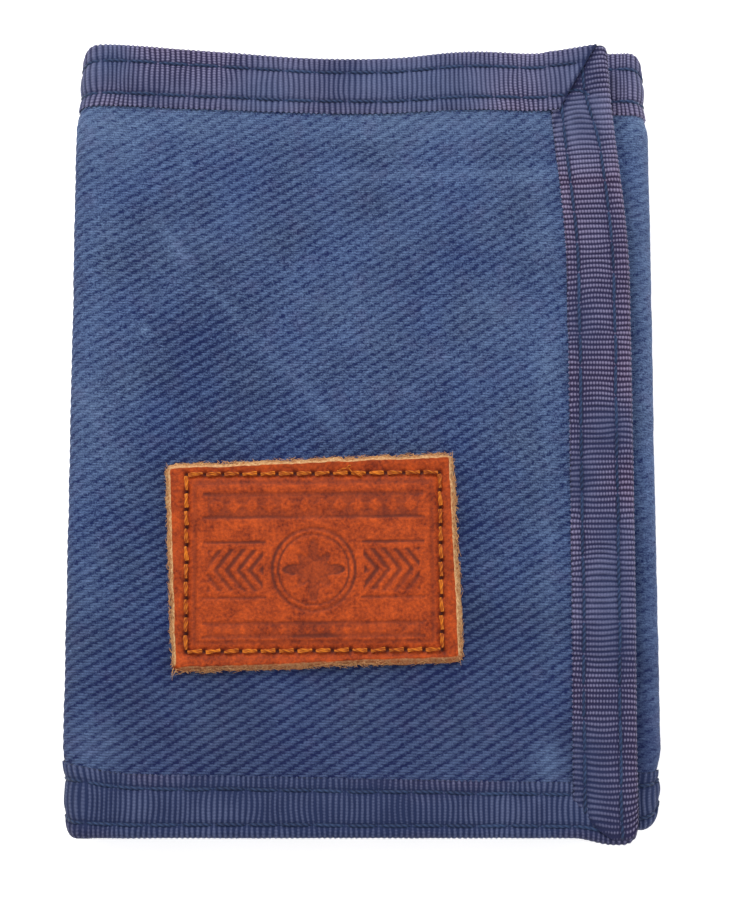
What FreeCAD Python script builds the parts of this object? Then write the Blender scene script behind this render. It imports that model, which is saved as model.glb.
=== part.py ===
"""Trifold wallet in denim, closed: three panels, two fold spines, woven tape binding, leather patch.

Each panel and each fold is rigid here, so cloth and tape that run on round a fold are cut at its
creases, which is where the hinge axes are.

Frame: +Z up through the closed stack, +Y to the open mouth of the bill compartment, +X to the free
edge of the front flap. The origin is on the face that rests on a table, under the middle of the
closed wallet. Lengths are millimetres.

Every layer is placed by its offset from the middle of the denim: 0 is the middle of the denim, a
positive offset is outwards (towards the outside of the wallet) and a negative one is inwards.
"""

import FreeCAD
import Part

import math
import os

# ---- driving dimensions -------------------------------------------------------------------------
CLOSED_WIDTH = 89.0  # over the binding on both folds
CLOSED_HEIGHT = 120.5
FRONT_EDGE_X = 40.5  # free edge of the front flap
INNER_EDGE_X = -26.8  # free edge of the tucked-in inner flap

DENIM = 0.9
LINING = 0.25
TAPE = 0.4  # grosgrain binding, one layer
BILL_ROOM = 1.2  # between denim and lining
CARD_ROOM = 0.8  # between lining and the first pocket sheet
COIN_ROOM = 0.6
POCKET = 0.25
PANE = 0.15  # clear vinyl
TRIM = 0.2  # narrow tape on a pocket mouth
LEATHER = 1.8
THREAD = 0.5

TAPE_FACE = 9.5  # visible face of a binding
ROW_NEAR = 2.0  # stitch rows, from the folded edge of the binding
ROW_FAR = 7.7
GROOVE = 0.2  # how deep the stitches pull into the tape
LINING_DROP = 2.2  # the lining's mouth sits lower than the denim's

LEFT_BEND = 3.0  # radius of each corner of a fold, at the middle of the denim
RIGHT_BEND = 2.5
CREASE_GAP = 0.15  # each side of a crease
TOUCH = 0.05  # gap between layers that lie on each other
PANEL_GAP = 0.3  # between the back panel and the inner flap

LOOP_TAPE = 1.2
HOOK_TAPE = 1.0
VELCRO_WIDTH = 19.0
VELCRO_LENGTH = 76.0
VELCRO_X = 19.5

# ---- layer offsets ------------------------------------------------------------------------------
SHELL_OUT = DENIM / 2
SHELL_IN = -DENIM / 2
TAPE_OUT = SHELL_OUT + TAPE
LINING_OUT = SHELL_IN - BILL_ROOM
LINING_IN = LINING_OUT - LINING
SHEET_1 = (LINING_IN - CARD_ROOM, LINING_IN - CARD_ROOM - POCKET)
PANE_LEVEL = (SHEET_1[1] - TOUCH / 2, SHEET_1[1] - TOUCH / 2 - PANE)
SHEET_2 = (SHEET_1[1] - PANE - TOUCH, SHEET_1[1] - PANE - TOUCH - POCKET)
COIN_SHEET = (LINING_IN - COIN_ROOM, LINING_IN - COIN_ROOM - POCKET)
DEEP_TAPE = (SHEET_2[1] - TOUCH, SHEET_2[1] - TOUCH - TAPE)
FRONT_TAPE = (COIN_SHEET[1] - TOUCH, COIN_SHEET[1] - TOUCH - TAPE)

# ---- heights of the denim's middle in each panel --------------------------------------------------
BACK_Z = TAPE_OUT
INNER_Z = BACK_Z - 2 * DEEP_TAPE[1] + PANEL_GAP
FRONT_Z = INNER_Z + SHELL_OUT + LOOP_TAPE + TOUCH + HOOK_TAPE - LINING_IN

LEFT_X = -CLOSED_WIDTH / 2 + TAPE_OUT
RIGHT_X = CLOSED_WIDTH / 2 - TAPE_OUT
TOP_Y = CLOSED_HEIGHT / 2
BOTTOM_Y = -CLOSED_HEIGHT / 2
LINING_TOP_Y = TOP_Y - LINING_DROP

# ---- zip of the coin pocket -----------------------------------------------------------------------
ZIP_X = -34.5
ZIP_BOTTOM_Y = -46.0
ZIP_TOP_Y = 38.0
ZIP_TAPE_WIDTH = 5.4
ZIP_SLOT_WIDTH = 7.6  # in the coin pocket's sheet
ZIP_TAPE = (COIN_SHEET[1], COIN_SHEET[1] - 0.25)
COIL_WIDTH = 0.9
COIL_HALF_GAP = 0.2  # from the zip's middle to a row of teeth
COIL_LEVEL = (ZIP_TAPE[1], ZIP_TAPE[1] - 0.95)
STOP_LENGTH = 1.6
SLIDER_WIDTH = 7.0
SLIDER_LENGTH = 8.6
SLIDER_Y = ZIP_TOP_Y - SLIDER_LENGTH / 2 - 0.2  # middle of the slider with the zip shut
SLIDER_BACK = (LINING_IN - 0.15, LINING_IN - 0.6)
SLIDER_FACE = (COIL_LEVEL[1] - 0.15, COIL_LEVEL[1] - 0.75)
POST = (0.3, 1.4)  # width and length of the post between the plates
CROWN_WIDTH = 1.4
CROWN_ROOM = 0.7
CROWN = 0.4
CROWN_FEET = ((1.0, 1.9), (6.2, 7.1))  # from the slider's lower end
PIN_FROM_END = 5.0
PIN_RADIUS = 0.25
PULL = 0.4
PULL_LENGTH = 12.5
PULL_WIDTH = 4.2
PULL_EYE = (2.2, 4.6)
PULL_SLOT = (1.4, 4.0)

# ---- leather patch ---------------------------------------------------------------------------------
PATCH_WIDTH = 43.0
PATCH_HEIGHT = 31.0
PATCH_CENTRE = (-7.4, -20.1)
PATCH_TURN = 2.4  # degrees anticlockwise, seen from the front
PATCH_CORNER = 1.0
PATCH_ROW_INSET = 3.6
PATCH_STITCH = 1.9
PATCH_PITCH = 2.7


def vector(x, y, z):
    return FreeCAD.Vector(x, y, z)


def box(x, y, z):
    """A box from three (low, high) pairs, in any order."""
    lows = [min(pair) for pair in (x, y, z)]
    sides = [abs(pair[1] - pair[0]) for pair in (x, y, z)]
    return Part.makeBox(*sides, vector(*lows))


def one(shapes):
    """Fuses touching shapes into one solid."""
    shapes = list(shapes)
    fused = shapes[0] if len(shapes) == 1 else shapes[0].multiFuse(shapes[1:])
    return fused.removeSplitter()


def sector(centre, radii, angles, y):
    """A bent slab: the ring between two radii and two angles (degrees, from +X towards +Z)."""
    cx, cz = centre

    def at(radius, angle):
        turn = math.radians(angle)
        return vector(cx + radius * math.cos(turn), y[0], cz + radius * math.sin(turn))

    low, high = min(radii), max(radii)
    middle = sum(angles) / 2
    inner = Part.Arc(at(low, angles[0]), at(low, middle), at(low, angles[1])).toShape()
    outer = Part.Arc(at(high, angles[1]), at(high, middle), at(high, angles[0])).toShape()
    side_1 = Part.makeLine(at(low, angles[1]), at(high, angles[1]))
    side_2 = Part.makeLine(at(high, angles[0]), at(low, angles[0]))
    return Part.Face(Part.Wire([inner, side_1, outer, side_2])).extrude(vector(0, y[1] - y[0], 0))


class Bend:
    """One corner of a fold. The cloth creases on its bisector, which is where the hinge axis runs."""

    def __init__(self, centre, radius, panel_angle, fold_angle):
        self.centre = centre
        self.radius = radius
        self.angles = {"panel": panel_angle, "fold": fold_angle}
        self.crease = (panel_angle + fold_angle) / 2

    def lip(self, side, offsets, y):
        """The half of the corner that belongs to the panel or to the fold."""
        outward = max(0.0, max(offsets) - SHELL_OUT)
        radii = (self.radius + offsets[0], self.radius + offsets[1])
        gap = math.degrees((CREASE_GAP + outward) / max(min(radii), 0.6))
        start = self.angles[side]
        stop = self.crease + math.copysign(gap, start - self.crease)
        return sector(self.centre, radii, (start, stop), y)

    def axis(self):
        """X and Z of the hinge axis: on the denim's outer face, at the crease."""
        reach = self.radius + SHELL_OUT
        turn = math.radians(self.crease)
        return (
            self.centre[0] + reach * math.cos(turn),
            self.centre[1] + reach * math.sin(turn),
        )


BEND_BACK_LEFT = Bend((LEFT_X + LEFT_BEND, BACK_Z + LEFT_BEND), LEFT_BEND, 270, 180)
BEND_FRONT_LEFT = Bend((LEFT_X + LEFT_BEND, FRONT_Z - LEFT_BEND), LEFT_BEND, 90, 180)
BEND_BACK_RIGHT = Bend((RIGHT_X - RIGHT_BEND, BACK_Z + RIGHT_BEND), RIGHT_BEND, -90, 0)
BEND_INNER_RIGHT = Bend((RIGHT_X - RIGHT_BEND, INNER_Z - RIGHT_BEND), RIGHT_BEND, 90, 0)

LEFT_FLAT_X = LEFT_X + LEFT_BEND
RIGHT_FLAT_X = RIGHT_X - RIGHT_BEND


class Panel:
    """A flat panel. outward is +1 where the denim faces +Z and -1 where it faces -Z."""

    def __init__(self, z, outward, low_x, high_x, bends):
        self.z = z
        self.outward = outward
        self.low_x = low_x
        self.high_x = high_x
        self.bends = bends

    def level(self, offset):
        return self.z + self.outward * offset

    def sheet(self, offsets, y, x=None, lips=True):
        """A layer of the panel between two offsets, carried round into the folds if lips is true."""
        x = x or (self.low_x, self.high_x)
        flat = box(x, y, (self.level(offsets[0]), self.level(offsets[1])))
        if not lips:
            return flat
        return one([flat] + [bend.lip("panel", offsets, y) for bend in self.bends])


class Fold:
    """The narrow spine of a fold, standing between two panels."""

    def __init__(self, x, outward, bends):
        self.x = x
        self.outward = outward
        self.bends = bends

    def sheet(self, offsets, y, **_):
        side = [self.x + self.outward * offset for offset in offsets]
        levels = [bend.centre[1] for bend in self.bends]
        flat = box(side, y, levels)
        return one([flat] + [bend.lip("fold", offsets, y) for bend in self.bends])


BACK = Panel(BACK_Z, -1, LEFT_FLAT_X, RIGHT_FLAT_X, [BEND_BACK_LEFT, BEND_BACK_RIGHT])
FRONT = Panel(FRONT_Z, 1, LEFT_FLAT_X, FRONT_EDGE_X, [BEND_FRONT_LEFT])
INNER = Panel(INNER_Z, 1, INNER_EDGE_X, RIGHT_FLAT_X, [BEND_INNER_RIGHT])
LEFT_FOLD = Fold(LEFT_X, -1, [BEND_BACK_LEFT, BEND_FRONT_LEFT])
RIGHT_FOLD = Fold(RIGHT_X, 1, [BEND_BACK_RIGHT, BEND_INNER_RIGHT])

SEGMENTS = {
    "back": BACK,
    "front": FRONT,
    "inner": INNER,
    "left_fold": LEFT_FOLD,
    "right_fold": RIGHT_FOLD,
}
FREE_EDGE = {"front": (FRONT_EDGE_X, 1), "inner": (INNER_EDGE_X, -1)}
INNER_LEG = {"back": DEEP_TAPE, "inner": DEEP_TAPE, "front": FRONT_TAPE}
FOLD_LEG = (LINING_IN, LINING_IN - TAPE)


def cloth_x(name):
    """Where a panel's cloth ends: just inside the tape on a free edge."""
    panel = SEGMENTS[name]
    if name not in FREE_EDGE:
        return None
    edge, side = FREE_EDGE[name]
    if side > 0:
        return (panel.low_x, edge - TAPE)
    return (edge + TAPE, panel.high_x)


def shell(name):
    """The denim of one segment."""
    return SEGMENTS[name].sheet(
        (SHELL_IN, SHELL_OUT), (BOTTOM_Y + TAPE, TOP_Y - TAPE), x=cloth_x(name)
    )


def lining(name):
    """The inner wall of the bill compartment."""
    return SEGMENTS[name].sheet(
        (LINING_OUT, LINING_IN), (BOTTOM_Y + TAPE, LINING_TOP_Y - TAPE), x=cloth_x(name)
    )


def groove(segment, row_y, x=None):
    """The channel that a stitch row pulls into the outer face of a tape."""
    half = THREAD / 2 + TOUCH
    return segment.sheet((TAPE_OUT - GROOVE, TAPE_OUT), (row_y - half, row_y + half), x=x)


def binding(segment, edge_y, side, outer, inner, x=None, inner_lips=True):
    """Tape folded over an edge that runs along the panel. side is +1 at the top and -1 at the foot."""
    face = (edge_y, edge_y - side * TAPE_FACE)
    cap = (edge_y, edge_y - side * TAPE)
    legs = [
        segment.sheet(outer, sorted(face), x=x),
        segment.sheet(inner, sorted(face), x=x, lips=inner_lips),
    ]
    over_the_edge = segment.sheet((outer[1], inner[1]), sorted(cap), x=x, lips=inner_lips)
    outer_lips = segment.sheet(outer, sorted(cap), x=x)
    return one(legs + [over_the_edge, outer_lips])


def mitre(name, side, along):
    """A wedge to cut away where two bindings meet. along is true for the tape that ends there."""
    edge, toward = FREE_EDGE[name]
    corner = (edge - toward * (TOUCH if along else 0), side * TOP_Y)
    reach = 4 * TAPE_FACE
    outer = (corner[0] + toward * reach, corner[1] + side * reach)
    inner = (corner[0] - toward * reach, corner[1] - side * reach)
    third = (outer[0], inner[1]) if along else (inner[0], outer[1])
    corners = [vector(x, y, -1) for x, y in (outer, inner, third)]
    wedge = Part.Face(Part.makePolygon(corners + corners[:1]))
    return wedge.extrude(vector(0, 0, FRONT_Z + 2))


def top_binding(name):
    """Tape over the denim's edge at the mouth of the bill compartment."""
    segment = SEGMENTS[name]
    tape = binding(segment, TOP_Y, 1, (SHELL_OUT, TAPE_OUT), (SHELL_IN, SHELL_IN - TAPE))
    for row in (ROW_NEAR, ROW_FAR):
        tape = tape.cut(groove(segment, TOP_Y - row))
    return tape.cut(mitre(name, 1, True)) if name in FREE_EDGE else tape


def lining_binding(name):
    """Tape over the lining's edge at the mouth of the bill compartment."""
    outer = (LINING_OUT, LINING_OUT + TAPE)
    inner = (LINING_IN, LINING_IN - TAPE)
    return binding(SEGMENTS[name], LINING_TOP_Y, 1, outer, inner, x=cloth_x(name))


def bottom_binding(name):
    """Tape that closes the foot of the wallet round every layer."""
    segment = SEGMENTS[name]
    leg = INNER_LEG.get(name, FOLD_LEG)
    tape = binding(
        segment, BOTTOM_Y, -1, (SHELL_OUT, TAPE_OUT), leg, inner_lips=name not in INNER_LEG
    )
    for row in (ROW_NEAR, ROW_FAR):
        tape = tape.cut(groove(segment, BOTTOM_Y + row))
    return tape.cut(mitre(name, -1, True)) if name in FREE_EDGE else tape


def edge_binding(name):
    """Tape round the free edge of a flap, mitred into the tapes at the top and the foot."""
    panel = SEGMENTS[name]
    edge, toward = FREE_EDGE[name]
    face = (edge, edge - toward * TAPE_FACE)
    cap = (edge, edge - toward * TAPE)
    leg = INNER_LEG[name]
    y = (BOTTOM_Y, TOP_Y)
    tape = one(
        [
            panel.sheet((SHELL_OUT, TAPE_OUT), y, x=face, lips=False),
            panel.sheet(leg, y, x=face, lips=False),
            panel.sheet((TAPE_OUT, leg[1]), y, x=cap, lips=False),
        ]
    )
    for row in (ROW_NEAR, ROW_FAR):
        tape = tape.cut(edge_row(name, row, THREAD / 2 + TOUCH, 0))
    return tape.cut(mitre(name, 1, False)).cut(mitre(name, -1, False))


def edge_row(name, row, half_width, inset):
    """A straight bar along a free edge, sunk into the outer face of its tape."""
    panel = SEGMENTS[name]
    edge, toward = FREE_EDGE[name]
    middle = edge - toward * row
    y = (BOTTOM_Y + inset, TOP_Y - inset)
    x = (middle - half_width, middle + half_width)
    return panel.sheet((TAPE_OUT - GROOVE, TAPE_OUT), y, x=x, lips=False)


def stitching(name):
    """The thread rows on the outside of one segment, one solid for each row."""
    segment = SEGMENTS[name]
    rows = []
    for edge_y, side in ((TOP_Y, 1), (BOTTOM_Y, -1)):
        for row in (ROW_NEAR, ROW_FAR):
            middle = edge_y - side * row
            x = None
            if name in FREE_EDGE:
                edge, toward = FREE_EDGE[name]
                stop = edge - toward * (row + THREAD)
                x = (segment.low_x, stop) if toward > 0 else (stop, segment.high_x)
            y = (middle - THREAD / 2, middle + THREAD / 2)
            rows.append(segment.sheet((TAPE_OUT - GROOVE, TAPE_OUT), y, x=x))
    if name in FREE_EDGE:
        for row in (ROW_NEAR, ROW_FAR):
            rows.append(edge_row(name, row, THREAD / 2, row + THREAD))
    return rows


# ---- pockets on the inner faces ---------------------------------------------------------------------
POCKET_FOOT_Y = BOTTOM_Y + TAPE
CARD_POCKET_X = (-38.0, 40.0)
CARD_MOUTH_Y = 26.0
WINDOW_X = (-30.0, 32.0)
WINDOW_MOUTH_Y = 12.0
WINDOW_BORDER = 5.0
FLAP_POCKET_X = (INNER_EDGE_X + TAPE_FACE + TOUCH, 40.0)
REAR_MOUTH_Y = 31.0
FRONT_MOUTH_Y = 11.0
TRIM_FACE = 5.0
COIN_X = (-40.2, 8.0)
COIN_TOP_Y = 43.0


def pocket_sheet(panel, offsets, x, mouth_y):
    return panel.sheet(offsets, (POCKET_FOOT_Y, mouth_y), x=x, lips=False)


def mouth_trim(panel, offsets, x, mouth_y):
    """Narrow tape on a pocket's face, turned over its mouth."""
    face_y = (mouth_y - TRIM_FACE, mouth_y + TRIM)
    face = panel.sheet((offsets[1], offsets[1] - TRIM), face_y, x=x, lips=False)
    edge_y = (mouth_y, mouth_y + TRIM)
    turned_edge = panel.sheet((offsets[0], offsets[1] - TRIM), edge_y, x=x, lips=False)
    return one([face, turned_edge])


def window_opening():
    """X and Y of the hole in the photo-card window's frame."""
    x = (WINDOW_X[0] + WINDOW_BORDER, WINDOW_X[1] - WINDOW_BORDER)
    y = (BOTTOM_Y + TAPE_FACE + WINDOW_BORDER, WINDOW_MOUTH_Y - WINDOW_BORDER)
    return x, y


def window_frame():
    """The nylon frame of the photo-card window."""
    x, y = window_opening()
    through = (SHEET_2[0] + POCKET, SHEET_2[1] - POCKET)
    hole = BACK.sheet(through, y, x=x, lips=False)
    return pocket_sheet(BACK, SHEET_2, WINDOW_X, WINDOW_MOUTH_Y).cut(hole)


def window_pane():
    """Clear vinyl, welded behind the frame and 2 mm wider than its hole on every side."""
    x, y = ([low - 2, high + 2] for low, high in window_opening())
    return BACK.sheet(PANE_LEVEL, y, x=x, lips=False)


def coin_pocket():
    """Sheet over the inside of the front flap, with a slot for the zip."""
    half = ZIP_SLOT_WIDTH / 2
    through = (COIN_SHEET[0] + POCKET, COIN_SHEET[1] - POCKET)
    slot_y = (ZIP_BOTTOM_Y - STOP_LENGTH, ZIP_TOP_Y + STOP_LENGTH)
    slot = FRONT.sheet(through, slot_y, x=(ZIP_X - half, ZIP_X + half), lips=False)
    return pocket_sheet(FRONT, COIN_SHEET, COIN_X, COIN_TOP_Y).cut(slot)


# ---- hook and loop ------------------------------------------------------------------------------------
def velcro(panel, offset, thickness, outward):
    half_width = VELCRO_WIDTH / 2
    half_length = VELCRO_LENGTH / 2
    return panel.sheet(
        (offset, offset + outward * thickness),
        (-half_length, half_length),
        x=(VELCRO_X - half_width, VELCRO_X + half_width),
        lips=False,
    )


# ---- leather patch --------------------------------------------------------------------------------------
def turned(shape):
    """Puts a shape drawn about the patch's own centre into place on the front flap."""
    shape = shape.copy()
    shape.rotate(vector(0, 0, 0), vector(0, 0, 1), PATCH_TURN)
    shape.translate(vector(PATCH_CENTRE[0], PATCH_CENTRE[1], FRONT.level(SHELL_OUT)))
    return shape


def rounded_plate(width, height, low_z, thickness, corner):
    plate = Part.makeBox(width, height, thickness, vector(-width / 2, -height / 2, low_z))
    upright = [
        edge
        for edge in plate.Edges
        if abs(edge.Vertexes[0].Z - edge.Vertexes[1].Z) > thickness / 2
    ]
    return plate.makeFillet(corner, upright)


def patch():
    """Leather label with a sewing groove pressed in round its edge."""
    leather = rounded_plate(PATCH_WIDTH, PATCH_HEIGHT, 0, LEATHER, PATCH_CORNER)
    width = PATCH_WIDTH - 2 * PATCH_ROW_INSET
    height = PATCH_HEIGHT - 2 * PATCH_ROW_INSET
    half = THREAD / 2 + TOUCH
    floor = LEATHER - GROOVE
    outside = Part.makeBox(
        width + 2 * half, height + 2 * half, 1, vector(-width / 2 - half, -height / 2 - half, floor)
    )
    inside = Part.makeBox(
        width - 2 * half, height - 2 * half, 1, vector(-width / 2 + half, -height / 2 + half, floor)
    )
    return turned(leather.cut(outside.cut(inside)))


def patch_stitches():
    """Separate stitches in the patch's groove, one solid each."""
    width = PATCH_WIDTH - 2 * PATCH_ROW_INSET
    height = PATCH_HEIGHT - 2 * PATCH_ROW_INSET
    floor = LEATHER - GROOVE
    solids = []
    for length, across, along_x in ((width, height, True), (height, width, False)):
        count = int(length // PATCH_PITCH)
        for number in range(count):
            middle = (number - (count - 1) / 2) * PATCH_PITCH
            for side in (-1, 1):
                size = (PATCH_STITCH, THREAD) if along_x else (THREAD, PATCH_STITCH)
                place = (middle, side * across / 2) if along_x else (side * across / 2, middle)
                low = vector(place[0] - size[0] / 2, place[1] - size[1] / 2, floor)
                solids.append(turned(Part.makeBox(*size, THREAD, low)))
    return solids


# ---- coin pocket zip -------------------------------------------------------------------------------------
def zip_tape(side):
    """One woven half of the zip. side is -1 next to the fold and +1 on the other side."""
    near = ZIP_X + side * (COIL_HALF_GAP + COIL_WIDTH / 2)
    y = (ZIP_BOTTOM_Y - 2 * STOP_LENGTH, ZIP_TOP_Y + 2 * STOP_LENGTH)
    return FRONT.sheet(ZIP_TAPE, y, x=(near, near + side * ZIP_TAPE_WIDTH), lips=False)


def zip_coils():
    """The two rows of teeth, each a bar along the inner edge of its tape."""
    y = (ZIP_BOTTOM_Y, ZIP_TOP_Y)
    bars = []
    for side in (-1, 1):
        near = ZIP_X + side * COIL_HALF_GAP
        bars.append(FRONT.sheet(COIL_LEVEL, y, x=(near, near + side * COIL_WIDTH), lips=False))
    return bars


def zip_stops():
    """Metal stops past both ends of the teeth."""
    half = COIL_HALF_GAP + COIL_WIDTH + 0.3
    stops = []
    for end, side in ((ZIP_TOP_Y, 1), (ZIP_BOTTOM_Y, -1)):
        y = (end + side * TOUCH, end + side * STOP_LENGTH)
        stops.append(FRONT.sheet(COIL_LEVEL, y, x=(ZIP_X - half, ZIP_X + half), lips=False))
    return stops


def slider():
    """Two plates either side of the teeth, the post that joins them, and the crown for the pull."""
    low_y = SLIDER_Y - SLIDER_LENGTH / 2
    high_y = low_y + SLIDER_LENGTH
    x = (ZIP_X - SLIDER_WIDTH / 2, ZIP_X + SLIDER_WIDTH / 2)
    back = FRONT.sheet(SLIDER_BACK, (low_y, high_y), x=x, lips=False)
    face = FRONT.sheet(SLIDER_FACE, (low_y, high_y), x=x, lips=False)
    post_x = (ZIP_X - POST[0] / 2, ZIP_X + POST[0] / 2)
    post_y = (high_y - POST[1], high_y)
    post = FRONT.sheet((SLIDER_BACK[0], SLIDER_FACE[1]), post_y, x=post_x, lips=False)
    crown_x = (ZIP_X - CROWN_WIDTH / 2, ZIP_X + CROWN_WIDTH / 2)
    under = SLIDER_FACE[1] - CROWN_ROOM
    feet = [
        FRONT.sheet((SLIDER_FACE[1], under), (low_y + a, low_y + b), x=crown_x, lips=False)
        for a, b in CROWN_FEET
    ]
    crown_y = (low_y + CROWN_FEET[0][0], low_y + CROWN_FEET[1][1])
    crown = FRONT.sheet((under, under - CROWN), crown_y, x=crown_x, lips=False)
    return one([back, face, post, crown] + feet)


def pull_pin():
    """Y and Z of the pull's hinge axis, midway between the slider's face and its crown."""
    y = SLIDER_Y - SLIDER_LENGTH / 2 + PIN_FROM_END
    return y, FRONT.level(SLIDER_FACE[1] - CROWN_ROOM / 2)


def pull():
    """The pull tab. Its round pin lies under the crown, and its eye clears the crown's lower foot."""
    y, z = pull_pin()
    half = PULL_WIDTH / 2
    tab = box((ZIP_X - half, ZIP_X + half), (y - PULL_LENGTH, y), (z - PULL / 2, z + PULL / 2))
    eye_half = PULL_EYE[0] / 2
    eye = box((ZIP_X - eye_half, ZIP_X + eye_half), (y - PULL_EYE[1], y + 1), (z - 1, z + 1))
    slot_half = PULL_SLOT[0] / 2
    slot_y = (y - PULL_LENGTH + 1.2, y - PULL_LENGTH + 1.2 + PULL_SLOT[1])
    slot = box((ZIP_X - slot_half, ZIP_X + slot_half), slot_y, (z - 1, z + 1))
    pin = Part.makeCylinder(PIN_RADIUS, PULL_WIDTH, vector(ZIP_X - half, y, z), vector(1, 0, 0))
    return one([tab.cut(eye).cut(slot), pin])


# ---- every named piece ------------------------------------------------------------------------------------
def pieces():
    """Node name to its list of solids."""
    found = {}
    for name in SEGMENTS:
        found[name + "_shell"] = [shell(name)]
        found[name + "_lining"] = [lining(name)]
        found[name + "_top_binding"] = [top_binding(name)]
        found[name + "_lining_binding"] = [lining_binding(name)]
        found[name + "_bottom_binding"] = [bottom_binding(name)]
        found[name + "_stitching"] = stitching(name)
    for name in FREE_EDGE:
        found[name + "_edge_binding"] = [edge_binding(name)]
    found["leather_patch"] = [patch()]
    found["patch_stitching"] = patch_stitches()
    found["hook_strip"] = [velcro(FRONT, LINING_IN, HOOK_TAPE, -1)]
    found["loop_strip"] = [velcro(INNER, SHELL_OUT, LOOP_TAPE, 1)]
    found["card_pocket"] = [pocket_sheet(BACK, SHEET_1, CARD_POCKET_X, CARD_MOUTH_Y)]
    found["card_pocket_trim"] = [mouth_trim(BACK, SHEET_1, CARD_POCKET_X, CARD_MOUTH_Y)]
    found["id_window_frame"] = [window_frame()]
    found["id_window_pane"] = [window_pane()]
    found["flap_rear_pocket"] = [pocket_sheet(INNER, SHEET_1, FLAP_POCKET_X, REAR_MOUTH_Y)]
    found["flap_rear_pocket_trim"] = [mouth_trim(INNER, SHEET_1, FLAP_POCKET_X, REAR_MOUTH_Y)]
    found["flap_front_pocket"] = [pocket_sheet(INNER, SHEET_2, FLAP_POCKET_X, FRONT_MOUTH_Y)]
    found["flap_front_pocket_trim"] = [mouth_trim(INNER, SHEET_2, FLAP_POCKET_X, FRONT_MOUTH_Y)]
    found["coin_pocket"] = [coin_pocket()]
    found["zip_tape_fold_side"] = [zip_tape(-1)]
    found["zip_tape_pocket_side"] = [zip_tape(1)]
    found["zip_teeth"] = zip_coils()
    found["zip_stops"] = zip_stops()
    found["zip_slider"] = [slider()]
    found["zip_pull"] = [pull()]
    return found


os.makedirs("parts", exist_ok=True)
for node, solids in pieces().items():
    Part.makeCompound(solids).exportStep(os.path.join("parts", node + ".step"))
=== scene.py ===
"""Looks of the denim trifold wallet: cloth, tape, thread, leather, pockets and zip round the fixed frame.

Sizes here are millimetres until a mesh is made. Cloth that runs round the folds is placed by three
numbers: `s`, the distance along the denim's middle from the front flap's free edge, round the left fold,
the back panel and the right fold to the inner flap's free edge; `y`; and `n`, the offset from the
denim's middle, positive towards the outside of the wallet.
"""

import math

import bpy
import numpy as np
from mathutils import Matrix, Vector


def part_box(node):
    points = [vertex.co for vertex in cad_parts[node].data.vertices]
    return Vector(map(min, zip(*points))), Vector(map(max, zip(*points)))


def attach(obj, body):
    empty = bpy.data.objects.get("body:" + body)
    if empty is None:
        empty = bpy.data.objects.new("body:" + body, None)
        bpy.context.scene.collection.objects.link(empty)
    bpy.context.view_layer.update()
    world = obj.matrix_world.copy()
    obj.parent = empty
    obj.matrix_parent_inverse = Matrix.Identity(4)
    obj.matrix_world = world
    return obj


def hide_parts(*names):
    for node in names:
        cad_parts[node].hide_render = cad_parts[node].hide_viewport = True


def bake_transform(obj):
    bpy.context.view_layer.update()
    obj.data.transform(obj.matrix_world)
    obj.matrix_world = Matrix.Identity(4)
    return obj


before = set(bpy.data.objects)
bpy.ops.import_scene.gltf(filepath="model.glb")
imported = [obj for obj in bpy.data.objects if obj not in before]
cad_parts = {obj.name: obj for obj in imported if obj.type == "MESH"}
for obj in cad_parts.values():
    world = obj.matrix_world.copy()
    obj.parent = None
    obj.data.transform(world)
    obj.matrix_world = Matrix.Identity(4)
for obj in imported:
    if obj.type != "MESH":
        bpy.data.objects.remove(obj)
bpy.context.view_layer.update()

# ---- sizes taken from the frame ----
MM = 0.001


def node_box(name):
    low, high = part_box(name)
    return np.array(low) / MM, np.array(high) / MM


# thicknesses, and offsets from the denim's middle
DENIM = 0.9
TAPE = 0.4
SHELL_OUT = DENIM / 2
SHELL_IN = -DENIM / 2
TAPE_OUT = SHELL_OUT + TAPE
LINING = (-1.65, -1.90)  # the lining's two faces
DEEP_LEG = -3.85  # inner face of the tape at the foot, under the pockets
FRONT_LEG = -3.20  # the same on the front flap
FOLD_LEG = -2.30  # the same in the folds
TAPE_FACE = 9.5  # how wide a tape shows

BACK_Z = node_box("back_shell")[0][2] + SHELL_OUT
FRONT_Z = node_box("front_shell")[1][2] - SHELL_OUT
INNER_Z = node_box("inner_shell")[1][2] - SHELL_OUT
LEFT_X = node_box("left_fold_shell")[0][0] + SHELL_OUT
RIGHT_X = node_box("right_fold_shell")[1][0] - SHELL_OUT
FRONT_EDGE = node_box("front_edge_binding")[1][0]
INNER_EDGE = node_box("inner_edge_binding")[0][0]
TOP = node_box("front_edge_binding")[1][1]
FOOT = -TOP
LINING_TOP = node_box("front_lining_binding")[1][1]
LEFT_BEND = 3.0  # radius of the denim's middle at each crease of the left fold
RIGHT_BEND = 2.5
HALF_WIDTH = RIGHT_X + TAPE_OUT

PATCH_TURN = math.radians(2.4)
PATCH_LOW, PATCH_HIGH = node_box("leather_patch")
PATCH_MIDDLE = (PATCH_LOW + PATCH_HIGH)[:2] / 2
PATCH_COS = math.cos(PATCH_TURN)
PATCH_SIN = math.sin(PATCH_TURN)
# the label's own sides, worked out from the box round the turned label
PATCH_SIZE = np.linalg.solve([[PATCH_COS, PATCH_SIN], [PATCH_SIN, PATCH_COS]], (PATCH_HIGH - PATCH_LOW)[:2])


# ---- numbers: noise, steps and easing ----
def ease(value):
    """0 below 0, 1 above 1 and smooth between."""
    value = np.clip(value, 0, 1)
    return value * value * (3 - 2 * value)


def rise(value, start, length):
    """0 up to start, easing to 1 over the length after it."""
    return ease((value - start) / length)


def fall(value, end, length):
    """1 until the length before end, easing to 0 at end."""
    return ease((end - value) / length)


def bump(value, middle, width):
    """1 at the middle, falling off to both sides."""
    return np.exp(-(((value - middle) / width) ** 2))


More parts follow.
